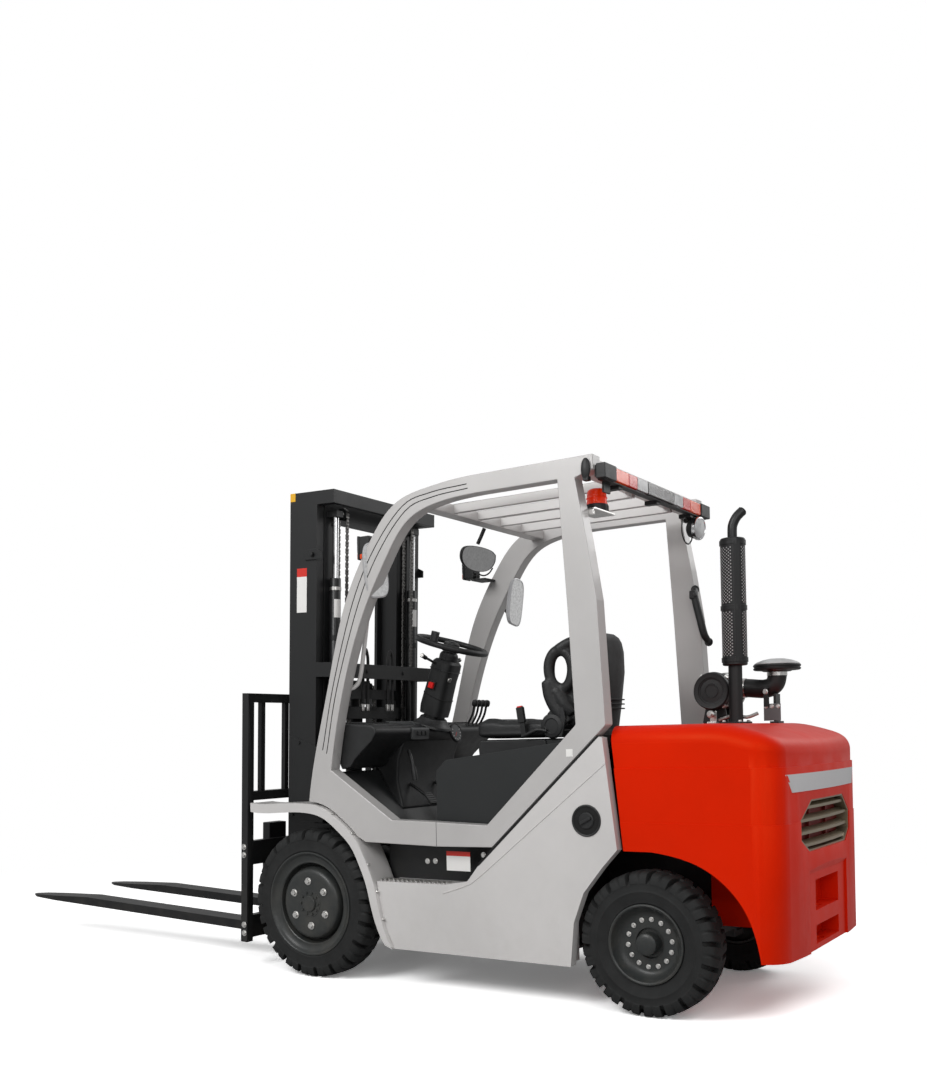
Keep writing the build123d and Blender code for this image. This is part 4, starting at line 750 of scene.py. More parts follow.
def make_rear_lamps():
    """The light bar along the roof's rear, the beacon on its bracket, the marker lamp and the rear work lamp."""
    lamps = Shape()
    x0, x1 = -1544, -1506
    runs = [(560, 452, PLASTIC, 30), (452, 330, ORANGE_LENS, 26), (330, 245, RED_LENS, 26), (245, 140, CLEAR_LENS, 26),
            (140, -140, DARK_LENS, 27), (-140, -245, CLEAR_LENS, 26), (-245, -330, RED_LENS, 26),
            (-330, -452, ORANGE_LENS, 26), (-452, -560, PLASTIC, 30)]
    for start, end, lens_material, half in runs:
        lamps.box((x0 - (half - 26), end + 0.6, 2134 - half), (x1, start - 0.6, 2134 + half), lens_material, None, 5, 3)
    lamps.box((-1510, -556, 2112), (-1500, 556, 2158), PLASTIC, None, 1.5)
    lamps.box((-1536, -540, 2100), (-1505, 540, 2106), PLASTIC, None, 1.5)
    for y in (-380, 0, 380):
        lamps.box((-1528, y - 18, 2088), (-1470, y + 18, 2106), PLASTIC, None, 2)
    base = Matrix.Translation((-1430, 400, 0))
    lamps.box((-1478, 332, 1995), (-1382, 509, 2003), ZINC, None, 2)
    lamps.box((-1470, 500, 1975), (-1390, 509, 2003), ZINC, None, 2)
    lamps.lathe([(0, 2003), (46, 2003), (47, 2006), (47, 2030), (45, 2034), (0, 2034)], PLASTIC, base, 40)
    for k in range(20):
        a = 2 * math.pi * k / 20
        at = base @ Matrix.Rotation(a, 4, "Z") @ Matrix.Translation((47, 0, 2018))
        lamps.box((-1.5, -2, -10), (1.5, 2, 10), PLASTIC, at, 0.5, 1)
    lamps.lathe([(0, 2033), (44, 2033), (44, 2038), (41, 2044), (39, 2086), (36, 2093), (30, 2097), (0, 2098)],
                BEACON_LENS, base, 44)
    lamps.lathe([(44, 2060), (40.4, 2061), (40.4, 2064), (41.5, 2065)], BEACON_LENS, base, 44)
    for k in range(9):
        z = 2044 + 5 * k
        r = 41.2 - (z - 2044) * 0.05
        lamps.lathe([(r - 2, z - 1), (r + 0.6, z), (r - 2, z + 1)], BEACON_LENS, base, 44)
    leaf = place((-1474, 570, 2142), (1, 0, 0), (0, 1, 0))
    rows = []
    for k in range(13):
        t = math.pi * k / 12
        ring = []
        for m in range(20):
            a = 2 * math.pi * m / 20
            ring.append((20 * math.sin(t) * math.cos(a), 44 * math.cos(t), 12 + 13 * math.sin(t) * math.sin(a)))
        rows.append(ring)
    lamps.grid(rows, PLASTIC, leaf, close_columns=True)
    lamps.box((-1486, 560, 2096), (-1462, 588, 2114), PLASTIC, None, 2)
    lamp = place((-1532, -430, 2044), (0, 0, 1), (-0.95, 0.12, -0.12))
    lamps.lathe([(0, -46), (26, -44), (40, -34), (46, -16), (48, -4), (48, 4), (0, 4)], PLASTIC, lamp, 40)
    lamps.lathe([(44, -2), (50, -2), (53, 2), (54, 12), (52, 17), (47, 18), (44, 14)], CHROME, lamp, 44)
    lamps.lathe([(0, 4), (18, 5), (36, 9), (46, 14), (46, 10), (0, 2)], CHROME, lamp, 40)
    lamps.lathe([(0, 14), (45, 14), (45, 16.5), (30, 19), (0, 20)], CLEAR_LENS, lamp, 40)
    lamps.cylinder(9, 4, 13, CHROME, lamp, 18, 2)
    lamps.box((-1528, -445, 2076), (-1470, -415, 2098), PLASTIC, None, 3)
    lamps.box((-1510, -450, 2036), (-1502, -410, 2090), PLASTIC, None, 2)
    lamps.tube([(-1500, -395, 2082), (-1512, -330, 2080), (-1518, -288, 2056), (-1520, -276, 2010), (-1521, -300, 1972),
                (-1522, -345, 1962), (-1522, -385, 1986), (-1520, -400, 2022)], 3.4, HOSE, None, 8, 6)
    for y in (470, -505):
        lamps.box((-1512, y - 30, 2060), (-1503, y + 30, 2108), PLASTIC, None, 2)
    front_lamps(lamps)
    lamps.done("lamps_detailed", "chassis", replaces=("lamps",), angle=30)


def front_lamps(lamps):
    """The two front work lamps: finned housings with an orange indicator, hung from the front pillars."""
    for where, side in sides():
        at = Matrix.Translation((-272, side * 440, 1980))
        lamps.box((-36, -34, -52), (22, 34, 52), PLASTIC, at, 7, 3)
        lamps.box((22, -35, -55), (33, 35, 55), PLASTIC, at, 5, 3)
        lamps.box((32, -29, -22), (38, 29, 48), CLEAR_LENS, at, 3, 2)
        lamps.box((32, -29, -50), (38, 29, -26), ORANGE_LENS, at, 3, 2)
        for k in range(6):
            lamps.box((-40, -28, -42 + 15 * k), (-34, 28, -36 + 15 * k), PLASTIC, at, 1, 1)
        lamps.box((-14, 30 if side > 0 else -40, -52), (14, 40 if side > 0 else -30, -30), ORANGE_LENS, at, 3, 2)
        y0, y1 = sorted((side * 405, side * 509))
        lamps.box((-380, y0, 1914), (-294, y1, 1924), PLASTIC, None, 2)
        lamps.box((-316, side * 440 - 15, 1920), (-292, side * 440 + 15, 1952), PLASTIC, None, 3)
        lamps.bolt(Matrix.Translation((-304, side * 440, 1922)), 8, ZINC)
        lamps.tube([(-300, side * 452, 1960), (-330, side * 470, 1946), (-352, side * 490, 1958),
                    (-366, side * 506, 1986)], 4, HOSE, None, 8, 5)


def mirror(shape, at, width, height, depth):
    """A mirror: a bulged housing with a rounded outline and its glass facing back."""
    count = 36
    rim = []
    for k in range(count):
        a = 2 * math.pi * k / count
        power = 0.55
        rim.append((math.copysign(abs(math.cos(a)) ** power, math.cos(a)) * width / 2,
                    math.copysign(abs(math.sin(a)) ** power, math.sin(a)) * height / 2))
    rows = []
    for scale, z in ((0.0, -depth), (0.5, -depth * 0.97), (0.8, -depth * 0.8), (0.95, -depth * 0.45), (1.0, 0),
                     (1.0, 5), (0.95, 7), (0.94, 4)):
        rows.append([(u * scale, v * scale, z) for u, v in rim])
    shape.grid(rows, MIRROR_BACK, at, close_columns=True)
    shape.prism([(u * 0.945, v * 0.945) for u, v in rim], 3, 5, MIRROR, at)


def make_mirrors():
    """The long side mirrors on the front pillars and the wide half-round one under the roof's front."""
    shape = Shape()
    for x, y, z, tip, turn in ((-392, 538, 1856, 0.1, 0.62), (-520, -476, 1790, -0.2, 0.1)):
        at = place((x, y, z), (turn, 1, 0), (-1, turn, 0)) @ Matrix.Rotation(tip, 4, "Z")
        mirror(shape, at, 112, 250, 30)
        side = math.copysign(1, y)
        shape.tube([(x + 30, y - side * 10, z - 30), (x + 44, y - side * 24, z - 44), (x + 44, side * 500, z - 60)], 9,
                   PLASTIC, None, 12)
        shape.cylinder(15, 0, 10, PLASTIC, place((x + 44, side * 498, z - 60), (1, 0, 0), (0, side, 0)), 20)
    wide = place((-604, 5, 1966), (0, 1, 0), (-0.96, 0, -0.28))
    outline = [(-142, -18), (-150, 12), (-132, 44), (-84, 68), (0, 78), (84, 68), (132, 44), (150, 12), (142, -18),
               (96, -34), (0, -40), (-96, -34)]
    smooth = [tuple(p[:2]) for p in smooth_line([Vector((*p, 0)) for p in outline + outline[:1]], 3)[:-1]]
    rows = []
    for scale, z in ((0.0, -34), (0.55, -31), (0.85, -22), (0.97, -9), (1.0, 0), (1.0, 5), (0.965, 7), (0.955, 4)):
        rows.append([(u * scale, (v - 18) * scale + 18, z) for u, v in smooth])
    shape.grid(rows, PLASTIC, wide, close_columns=True)
    shape.prism([(u * 0.958, (v - 18) * 0.958 + 18) for u, v in smooth], 3, 5, MIRROR, wide)
    shape.tube([(-600, 5, 2020), (-618, 5, 2050), (-640, 5, 2090)], 9, PLASTIC, None, 12)
    shape.done("mirrors_detailed", "chassis", replaces=("mirrors",))


make_rear_lamps()
make_mirrors()


# Seat


def settled(piece):
    """Turn a piece's modifiers into its own mesh."""
    graph = bpy.context.evaluated_depsgraph_get()
    solid = bpy.data.meshes.new_from_object(piece.evaluated_get(graph))
    piece.modifiers.clear()
    piece.data = solid


def swell(piece, cap, voxel, low, fade):
    """Even out a padded form's mesh, blow it up with cloth pressure and cap how far each point moves."""
    even = piece.modifiers.new("even", "REMESH")
    even.mode = "VOXEL"
    even.voxel_size = voxel
    relax = piece.modifiers.new("relax", "SMOOTH")
    relax.factor = 0.5
    relax.iterations = 8
    settled(piece)
    cloth = piece.modifiers.new("cloth", "CLOTH")
    cloth.settings.quality = 5
    cloth.settings.mass = 0.3
    cloth.settings.tension_stiffness = 12
    cloth.settings.compression_stiffness = 12
    cloth.settings.use_pressure = True
    cloth.settings.uniform_pressure_force = 4
    cloth.settings.effector_weights.gravity = 0
    cloth.collision_settings.use_collision = False
    for number in range(1, 21):
        bpy.context.scene.frame_set(number)
    graph = bpy.context.evaluated_depsgraph_get()
    swollen = [vertex.co.copy() for vertex in piece.evaluated_get(graph).data.vertices]
    piece.modifiers.remove(cloth)
    bpy.context.scene.frame_set(1)
    for vertex, after in zip(piece.data.vertices, swollen):
        move = after - vertex.co
        held = min(1.0, max(0.0, (vertex.co.z - low) / fade))
        if move.length > 0:
            vertex.co += move.normalized() * min(move.length, cap) * held


def sew(piece, seams, width, depth):
    """Press seams into a padded form: each seam is a function giving a point's distance from its line."""
    normals = [vertex.normal.copy() for vertex in piece.data.vertices]
    for vertex, normal in zip(piece.data.vertices, normals):
        for seam in seams:
            away = abs(seam(vertex.co, normal))
            if away < width:
                vertex.co -= normal * depth * (0.5 + 0.5 * math.cos(math.pi * away / width))


def upholster(piece, node):
    """Round a padded form once more and let it stand for its plain solid."""
    piece.data.materials.clear()
    piece.data.materials.append(VINYL)
    piece.data.polygons.foreach_set("use_smooth", [True] * len(piece.data.polygons))
    piece.data.polygons.foreach_set("material_index", [0] * len(piece.data.polygons))
    finer = piece.modifiers.new("finer", "SUBSURF")
    finer.levels = 1
    finer.render_levels = 1
    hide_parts(node)


def soft_loop(half_width, half_height, power, count=44):
    """Points round a softened rectangle."""
    points = []
    for k in range(count):
        a = 2 * math.pi * (k + 0.5) / count
        u = math.copysign(abs(math.cos(a)) ** power, math.cos(a)) * half_width
        v = math.copysign(abs(math.sin(a)) ** power, math.sin(a)) * half_height
        points.append((u, v))
    return points


def ramp_up(value, start, end):
    t = min(1.0, max(0.0, (value - start) / (end - start)))
    return t * t * (3 - 2 * t)


def truck_x(point):
    return (point.x - front_wheel.x) * 1000


def make_seat_cushion():
    """The cushion: a thick front roll, a low crown and raised side bolsters."""
    form = Shape()
    rows = []
    stations = ((-1062, 0.5), (-1058, 0.8), (-1046, 0.95), (-1020, 1), (-960, 1), (-900, 1), (-840, 1), (-780, 1),
                (-740, 1), (-718, 0.97), (-705, 0.88), (-699, 0.74), (-697, 0.45))
    for x, scale in stations:
        roll = 12 * ramp_up(x, -860, -760)
        loop = []
        for u, v in soft_loop(212 * (0.88 + 0.12 * scale), (32 + roll / 2) * scale, 0.5):
            lift = 16 * ramp_up(abs(u), 130, 185) if v > 0 else 0
            crown = 8 * (1 - (u / 215) ** 2) if v > 0 else 0
            loop.append((x, u, 1120 + roll / 2 + v + (lift + crown) * scale))
        rows.append(loop)
    form.grid(rows, VINYL, close_columns=True, caps=True)
    piece = form.done("seat_cushion_pad", "hood")
    piece.modifiers.clear()
    swell(piece, 0.008, 0.006, 1.09, 0.03)
    seams = (lambda p, n: (abs(p.y) - 0.152) if n.z > 0.3 else 1.0,
             lambda p, n: (truck_x(p) + 812) / 1000 if n.z > 0.3 and abs(p.y) < 0.152 else 1.0)
    sew(piece, seams, 0.007, 0.005)
    upholster(piece, "seat_cushion")


def ring_tube(form, centre_x, centre_z, half_x, half_z, y, radius, thickness, tip):
    """An oval ring standing along the truck, leaning outwards by tip at its front."""
    rows = []
    for k in range(48):
        a = 2 * math.pi * k / 48
        loop = []
        for m in range(16):
            b = 2 * math.pi * m / 16
            reach = radius * math.cos(b)
            x = centre_x + (half_x + reach) * math.cos(a)
            z = centre_z + (half_z + reach) * math.sin(a)
            lean_out = tip * (x - centre_x) / half_x
            loop.append((x, y + math.copysign(lean_out, y) + thickness * math.sin(b), z))
        rows.append(loop)
    form.grid(rows, VINYL, close_rows=True, close_columns=True)


def make_seat_back():
    """The back rest: a crowned pad between two wings, each wing open in the middle, and its side bolsters."""
    form = Shape()
    rows = []
    stations = ((1122, 0.5, 150), (1126, 0.8, 158), (1140, 1, 164), (1200, 1, 172), (1280, 1, 182), (1360, 1, 190),
                (1430, 1, 190), (1485, 1, 182), (1515, 0.95, 166), (1532, 0.85, 146), (1541, 0.65, 122),
                (1544, 0.35, 92))
    for z, scale, half in stations:
        middle = -1178 - 62 * ramp_up(z, 1120, 1540)
        loop = []
        for u, v in soft_loop(half, 34 * scale, 0.62):
            hollow = -14 * (1 - (u / 200) ** 2) if v > 0 else 0
            lumbar = 12 * math.exp(-((z - 1240) / 70) ** 2) if v > 0 else 0
            loop.append((middle + v + (hollow + lumbar) * scale + 26 * ramp_up(abs(u), 120, 190), u, z))
        rows.append(loop)
    form.grid(rows, VINYL, close_columns=True, caps=True)
    for where, side in sides():
        ring_tube(form, -1128, 1388, 56, 86, side * 186, 27, 21, 4)
        form.tube([(-1064, side * 190, 1340), (-1074, side * 188, 1268), (-1108, side * 182, 1196),
                   (-1150, side * 172, 1146)], 30, VINYL, None, 20)
        form.tube([(-1110, side * 184, 1300), (-1140, side * 180, 1240), (-1170, side * 168, 1190)], 30, VINYL, None, 20)
        form.tube([(-1120, side * 186, 1476), (-1165, side * 180, 1502), (-1210, side * 158, 1516)], 27, VINYL, None, 20)
    piece = form.done("seat_back_pad", "hood")
    piece.modifiers.clear()
    swell(piece, 0.007, 0.0065, 1.10, 0.03)
    seams = (lambda p, n: (abs(p.y) - 0.142) if n.x > 0.35 and p.z < 1.52 else 1.0,
             lambda p, n: (p.z - 1.43) if n.x > 0.35 and abs(p.y) < 0.142 else 1.0,
             lambda p, n: (p.z - 1.17) if n.x > 0.35 and abs(p.y) < 0.142 else 1.0)
    sew(piece, seams, 0.008, 0.005)
    upholster(piece, "seat_back")


def make_seat_frame():
    """The seat's moulded shell, its recliners, slides, hidden base and the belt's buckle."""
    shell = Shape()
    rows = []
    for z, half, inset in ((1104, 150, 8), (1108, 162, 2), (1130, 174, 0), (1240, 190, 0), (1380, 198, 0),
                           (1470, 192, 0), (1512, 172, 2), (1534, 146, 6), (1546, 110, 14)):
        back = -1262 - 26 * ramp_up(z, 1100, 1400) + inset
        loop = []
        for k in range(13):
            u = -half + 2 * half * k / 12
            loop.append((back + 30 * (abs(u) / half) ** 4, u, z))
        for k in range(12, -1, -1):
            u = (-half + 2 * half * k / 12) * 0.96
            loop.append((back + 9 + 34 * (abs(u) / half) ** 4, u, z))
        rows.append(loop)
    shell.grid(rows, PLASTIC, close_columns=True, caps=True)
    for z in (1210, 1230, 1250):
        shell.box((-1292, -120, z), (-1270, 120, z + 6), PLASTIC, None, 2)
    shell.box((-1282, -132, 1430), (-1268, 132, 1434), PLASTIC, None, 1)
    shell.box((-1262, -168, 1086), (-1120, 168, 1122), PLASTIC, None, 10, 4)
    for where, side in sides():
        y = side * 214
        hinge = place((-1092, y - side * 26, 1140), (1, 0, 0), (0, side, 0))
        shell.lathe([(0, 0), (52, 0), (56, 4), (56, 16), (50, 22), (34, 25), (30, 22), (0, 23)], PLASTIC, hinge, 40)
        shell.side_prism([(-1140, 1090), (-1060, 1090), (-1052, 1130), (-1070, 1196), (-1106, 1232), (-1146, 1240),
                          (-1160, 1170)], *sorted((side * 190, side * 206)), PLASTIC, 6, 3)
        shell.box((-1050, side * 150 - 18, 1054), (-720, side * 150 + 18, 1084), BLACK, None, 3)
        shell.box((-1040, side * 150 - 12, 1030), (-730, side * 150 + 12, 1056), STEEL, None, 1)
    shell.side_prism([(-1060, 1046), (-1052, 1082), (-716, 1082), (-700, 1060), (-706, 1004), (-900, 1016)], -200, 200,
                     PLASTIC, 8, 3)
    belt = place((-962, 226, 1096), (1, 0, 0), (0.12, 0.05, 1))
    shell.box((-12, -4, 0), (12, 4, 70), PLASTIC, belt, 3)
    shell.box((-17, -11, 62), (17, 11, 132), PLASTIC, belt, 5, 3)
    shell.box((-12, -7.5, 130), (12, 7.5, 137), SWITCH_RED, belt, 2)
    shell.tube([(-950, 222, 1096), (-990, 226, 1110), (-1030, 224, 1124), (-1070, 216, 1118)], 9, PLASTIC, None, 12)
    shell.box((-700, -60, 1060), (-684, 60, 1072), STEEL, None, 4)
    shell.done("seat_shell", "hood")


make_seat_cushion()
make_seat_back()
make_seat_frame()


# Cab


STEER_TILT = math.radians(18)
STEER = Matrix.Translation((-430, 0, 1535)) @ Matrix.Rotation(-STEER_TILT, 4, "Y")


def make_column():
    """The steering column's two-part cover with its collar, levers, key, red switch and gaiter."""
    column = Shape()
    rows = []
    for z, half_x, half_y, shift in ((-412, 40, 50, 0), (-340, 42, 54, 0), (-338, 62, 66, 4), (-300, 66, 68, 6),
                                     (-250, 64, 67, 6), (-160, 60, 66, 4), (-100, 62, 68, 2), (-76, 60, 66, 0),
                                     (-64, 50, 56, 0), (-60, 36, 42, 0)):
        rows.append([(u + shift, v, z) for u, v in soft_loop(half_x, half_y, 0.62, 40)])
    column.grid(rows, PLASTIC, STEER, close_columns=True, caps=True)
    column.lathe([(46, -62), (46, -40), (42, -30), (36, -24), (0, -24)], PLASTIC, STEER, 36)
    seam = [(u * 1.012 + 5, v * 1.012, -246 + 0.16 * u) for u, v in soft_loop(64, 67, 0.62, 40)]
    column.tube(seam + seam[:1], 1.8, SHADE_AND_GAP_BLACK, STEER, 6, 0)
    collar = [(u * 1.0 + 2, v * 1.0, -112) for u, v in soft_loop(63, 69, 0.62, 40)]
    column.tube(collar + collar[:1], 2.6, PLASTIC, STEER, 8, 0)
    column.box((-10, 66, -214), (26, 74, -172), PLASTIC, STEER, 3)
    column.box((-6, 72, -208), (22, 88, -178), SWITCH_RED, STEER, 5, 3)
    for side, up in ((1, 6), (-1, -2)):
        column.tube([(20, side * 50, -92), (34, side * 92, -84 + up), (40, side * 136, -72 + up)], 6, PLASTIC, STEER, 12)
        column.tube([(40, side * 130, -74 + up), (41, side * 146, -69 + up), (42, side * 160, -64 + up)], 10, PLASTIC,
                    STEER, 14)
        column.cylinder(11, 0, 8, STEEL, STEER @ place((42, side * 160, -64 + up), (1, 0, 0), (0, side, 0.3)), 18, 2)
    column.cylinder(12, 0, 10, STEEL, STEER @ place((-52, 30, -150), (0, 0, 1), (-1, 0.3, 0)), 20, 2)
    column.lathe([(40, -400), (88, -402), (96, -396), (92, -386), (74, -374), (66, -356), (60, -352), (40, -350)],
                 PLASTIC, STEER, 44)
    column.done("steering_column_cover", "chassis", replaces=("steering_column",))
    hub = Shape()
    hub.lathe([(0, 12), (36, 12), (40, 15), (38, 22), (28, 27), (0, 29)], PLASTIC, STEER, 36)
    hub.cylinder(17, 29, 31, GREY_PLASTIC, STEER, 28, 0.8)
    for k in range(3):
        turn = STEER @ Matrix.Rotation(math.radians(60 + 120 * k), 4, "Z")
        hub.box((30, -16, 3), (162, 16, 9), PLASTIC, turn, 2.5)
        hub.box((46, -3, 8), (140, 3, 13), PLASTIC, turn, 2)
    hub.done("steering_wheel_hub", "steering_wheel")


def make_dash():
    """The dash: a swept cowl over the full width with a centre housing down to the floor, and the pedals."""
    dash = Shape()
    cowl = [(-146, 962), (-60, 1150), (-64, 1166), (-78, 1176), (-120, 1174), (-300, 1163), (-330, 1158), (-345, 1146),
            (-348, 1126), (-322, 1090), (-272, 1050), (-224, 1008), (-196, 972)]
    dash.side_prism(cowl, -507, 507, PLASTIC, 9, 4)
    centre_housing = [(-148, 960), (-62, 1146), (-330, 1142), (-338, 1118), (-300, 1060), (-276, 1000), (-268, 900),
                      (-284, 830), (-300, 764), (-262, 764), (-204, 858)]
    dash.side_prism(centre_housing, -240, 240, PLASTIC, 14, 4)
    dash.side_prism([(-136, 1140), (-128, 1183), (-140, 1186), (-300, 1174), (-312, 1166), (-300, 1140)], -150, 150,
                    GREY_PLASTIC, 7, 3)
    for y in (-340, 350):
        dash.side_prism([(-100, 1168), (-104, 1182), (-280, 1171), (-284, 1158)], y - 90, y + 90, PLASTIC, 6, 3)
        # Near-black boxes of painted shade for the recesses in the cowl's top.
        dash.box((-262, y - 64, 1163), (-130, y + 64, 1178), SHADE_AND_GAP_BLACK, None, 5, 2)
    dash.side_prism([(-350, 1092), (-356, 1140), (-352, 1150), (-342, 1152), (-338, 1098)], 90, 226, GREY_PLASTIC, 4, 3)
    for y in (118, 150, 182):
        dash.box((-361, y - 10, 1112), (-352, y + 10, 1134), PLASTIC, None, 3)
    gauge = place((-352, -140, 1122), (0, 1, 0), (-1, 0, 0.24))
    dash.lathe([(0, -6), (46, -6), (50, -2), (50, 5), (46, 8), (43, 5), (0, 5)], PLASTIC, gauge, 40)
    dash.cylinder(42, 4, 6, GREY_PLASTIC, gauge, 36, 0.5)
    for k in range(9):
        a = math.radians(-30 + 30 * k)
        tick = gauge @ Matrix.Rotation(a, 4, "Z")
        dash.box((30, -1, 5.8), (38, 1, 6.6), LABEL, tick, 0)
    dash.box((-1, -1, 6), (24, 1, 7), SWITCH_RED, gauge @ Matrix.Rotation(0.9, 4, "Z"), 0)
    for k in range(4):
        y = -300 - 38 * k
        dash.tube([(-312, y, 1150), (-350, y, 1210), (-366, y, 1262)], 6, BLACK, None, 12)
        dash.lathe([(0, -4), (12, -2), (16, 6), (16, 20), (11, 30), (0, 33)], PLASTIC,
                   place((-366, y, 1258), (0, 1, 0), (-0.28, 0, 1)), 24)
        dash.lathe([(20, 0), (15, 10), (9, 22), (0, 24)], HOSE, place((-316, y, 1150), (0, 1, 0), (-0.5, 0, 0.85)), 20)
    for y, wide in ((-150, 46), (-60, 60), (150, 60)):
        dash.tube([(-276, y, 880), (-330, y, 850), (-388, y, 812)], 8, BLACK, None, 12)
        pad = place((-396, y, 812), (0, 1, 0), (-0.75, 0, 0.66))
        dash.box((-wide / 2, -34, -5), (wide / 2, 34, 5), HOSE, pad, 4, 3)
        for k in range(5):
            dash.box((-wide / 2 + 4, -28 + 13 * k, 4), (wide / 2 - 4, -24 + 13 * k, 7), HOSE, pad, 1, 1)
    dash.tube([(-330, 232, 1040), (-352, 244, 1010), (-368, 250, 960)], 8, BLACK, None, 12)
    dash.tube([(-368, 250, 964), (-376, 252, 930), (-380, 252, 900)], 13, PLASTIC, None, 14)
    dash.done("dash_contoured", "chassis", replaces=("dash",))


def make_floor_mat():
    """The ribbed rubber mat on the flat floor."""
    mat = Shape()
    mat.box((-648, -498, 689.5), (-360, 498, 694), MAT, None, 1.5)
    for k in range(24):
        y = -482 + 42 * k
        if abs(y) < 500:
            mat.box((-640, y - 3, 693), (-368, y + 3, 697), MAT, None, 1.5, 1)
    mat.done("floor_mat_ribbed", "chassis")


def make_grips():
    """The silver grab bar at the left front pillar and the black grip with a button on the right rear pillar."""
    grips = Shape()
    bar = [(-316, 508, 1742), (-312, 494, 1730), (-300, 478, 1700), (-280, 472, 1600), (-252, 472, 1440),
           (-236, 474, 1372), (-220, 484, 1344), (-196, 496, 1332), (-176, 508, 1330)]
    grips.tube(bar, 10, SILVER, None, 18, 6)
    for x, z in ((-316, 1742), (-176, 1330)):
        grips.cylinder(17, 0, 5, SILVER, place((x, 509, z), (1, 0, 0), (0, -1, 0)), 28, 1.5)
        grips.bolt(place((x, 503.5, z), (1, 0, 0), (0, -1, 0)), 6, ZINC, False, 3)
    horn = [(-1486, -509, 1772), (-1490, -488, 1760), (-1498, -470, 1728), (-1520, -466, 1640), (-1538, -470, 1560),
            (-1546, -488, 1532), (-1548, -509, 1520)]
    grips.tube(horn, lambda t: 14 + 4 * math.sin(math.pi * t), PLASTIC, None, 18, 6)
    for x, z in ((-1486, 1772), (-1548, 1520)):
        grips.cylinder(20, 0, 8, PLASTIC, place((x, -509, z), (1, 0, 0), (0, 1, 0)), 28, 2)
    grips.box((-1506, -472, 1722), (-1478, -448, 1762), PLASTIC, None, 6, 3)
    grips.cylinder(9, 0, 8, GREY_PLASTIC, place((-1504, -452, 1742), (0, 0, 1), (-0.6, 0.8, 0)), 20, 2)
    grips.done("grab_bars", "chassis")


def make_body_trim():
    """Body trim on both sides: filler, sill joint, cleats, recess bolts, blank plates and screws."""
    trim = Shape()
    for where, side in sides():
        y = 575 * side
        face = place((-1440, y, 758), (1, 0, 0), (0, side, 0))
        # A near-black disc of painted shade for the recess round the filler cap.
        trim.cylinder(57, -1, 0.8, SHADE_AND_GAP_BLACK, face, 48, 0)
        trim.lathe([(55, -1), (56, 3), (60, 5), (63, 4), (64, 1), (64, -1)], PLASTIC, face, 48)
        trim.lathe([(0, -1), (33, -1), (33, 4), (29, 7), (0, 7)], PLASTIC, face, 36)
        trim.box((-27, -6, 6), (27, 6, 15), PLASTIC, face @ Matrix.Rotation(0.5, 4, "Z"), 3)
        trim.box((-718.5, min(y - side, y + side * 0.8), 628), (-716.5, max(y - side, y + side * 0.8), 735),
                 BRACKET_GREY, None, 0)
        for k in range(15):
            x = -740 + 24 * k
            cleat = Matrix.Translation((x, side * 556, 468)) @ Matrix.Rotation(side * 0.5, 4, "Z")
            trim.box((-3, -16, 0), (3, 16, 7), ZINC, cleat, 1.5, 1)
            inner = Matrix.Translation((x, side * 516, 468)) @ Matrix.Rotation(-side * 0.5, 4, "Z")
            trim.box((-3, -16, 0), (3, 16, 7), ZINC, inner, 1.5, 1)
        wall = 509 * side
        for x, z in ((-622, 558), (-664, 560), (-914, 596)):
            trim.bolt(place((x, wall, z), (1, 0, 0), (0, side, 0)), 9, ZINC, True, 5)
        low, high = sorted((wall - side * 0.5, wall + side * 1.2))
        trim.box((-846, low, 522), (-724, high, 586), LABEL, None, 0.4, 1)
        trim.box((-846, low, 586), (-724, high, 606), LABEL_RED, None, 0.4, 1)
        for x, z in ((-150, 762), (-262, 676), (-352, 540), (-398, 420), (-428, 300)):
            trim.bolt(place((x, 585 * side, z), (1, 0, 0), (-0.3, 0, 0.95)), 7, ZINC, True, 3)
        low, high = sorted((y - side * 0.5, y + side * 0.8))
        trim.box((-1386, low, 1012), (-1356, high, 1042), LABEL, None, 0.3, 1)
    trim.done("body_trim", "chassis")


make_column()
make_dash()
make_floor_mat()
make_grips()
make_body_trim()


# Mast


def link_plate(shape, at, pitch, low, high, tall):
    """One waisted side plate of a leaf chain's link, lying along local x between two heights of local y."""
    reach = pitch * 0.5
    outline = [(-reach - 4.5, 0), (-reach - 2.5, tall), (-reach + 2.5, tall), (0, tall * 0.68), (reach - 2.5, tall),
               (reach + 2.5, tall), (reach + 4.5, 0), (reach + 2.5, -tall), (reach - 2.5, -tall), (0, -tall * 0.68),
               (-reach + 2.5, -tall), (-reach - 2.5, -tall)]
    shape.prism(outline, low, high, CHAIN, at @ place((0, 0, 0), (1, 0, 0), (0, -1, 0)))


def make_chain(name, node, body, sheave_x, sheave_z, y, radius, rear_z, front_z, pitch=17):
    """A leaf chain on each side: up from its anchor behind, over the sheave and down in front of it."""
    shape = Shape()
    rear_run = sheave_z - rear_z
    over = math.pi * radius
    front_run = sheave_z - front_z
    count = int((rear_run + over + front_run) / pitch)
    for where, side in sides():
        for k in range(count):
            s = (k + 0.5) * pitch
            if s < rear_run:
                at = place((sheave_x - radius, side * y, rear_z + s), (0, 0, 1), (-1, 0, 0))
            elif s < rear_run + over:
                a = (s - rear_run) / radius
                at = place((sheave_x - radius * math.cos(a), side * y, sheave_z + radius * math.sin(a)),
                           (math.sin(a), 0, math.cos(a)), (-math.cos(a), 0, math.sin(a)))
            else:
                down = s - rear_run - over
                at = place((sheave_x + radius, side * y, sheave_z - down), (0, 0, -1), (1, 0, 0))
            bands = ((-9, -6), (-1.5, 1.5), (6, 9)) if k % 2 else ((-5.6, -2), (2, 5.6))
            for low, high in bands:
                link_plate(shape, at, pitch, low, high, 4)
            shape.cylinder(2.2, -9, 9, STEEL, at @ place((-pitch / 2, 0, 0), (1, 0, 0), (0, 1, 0)), 8)
    shape.done(name, body, MAST, (node,))


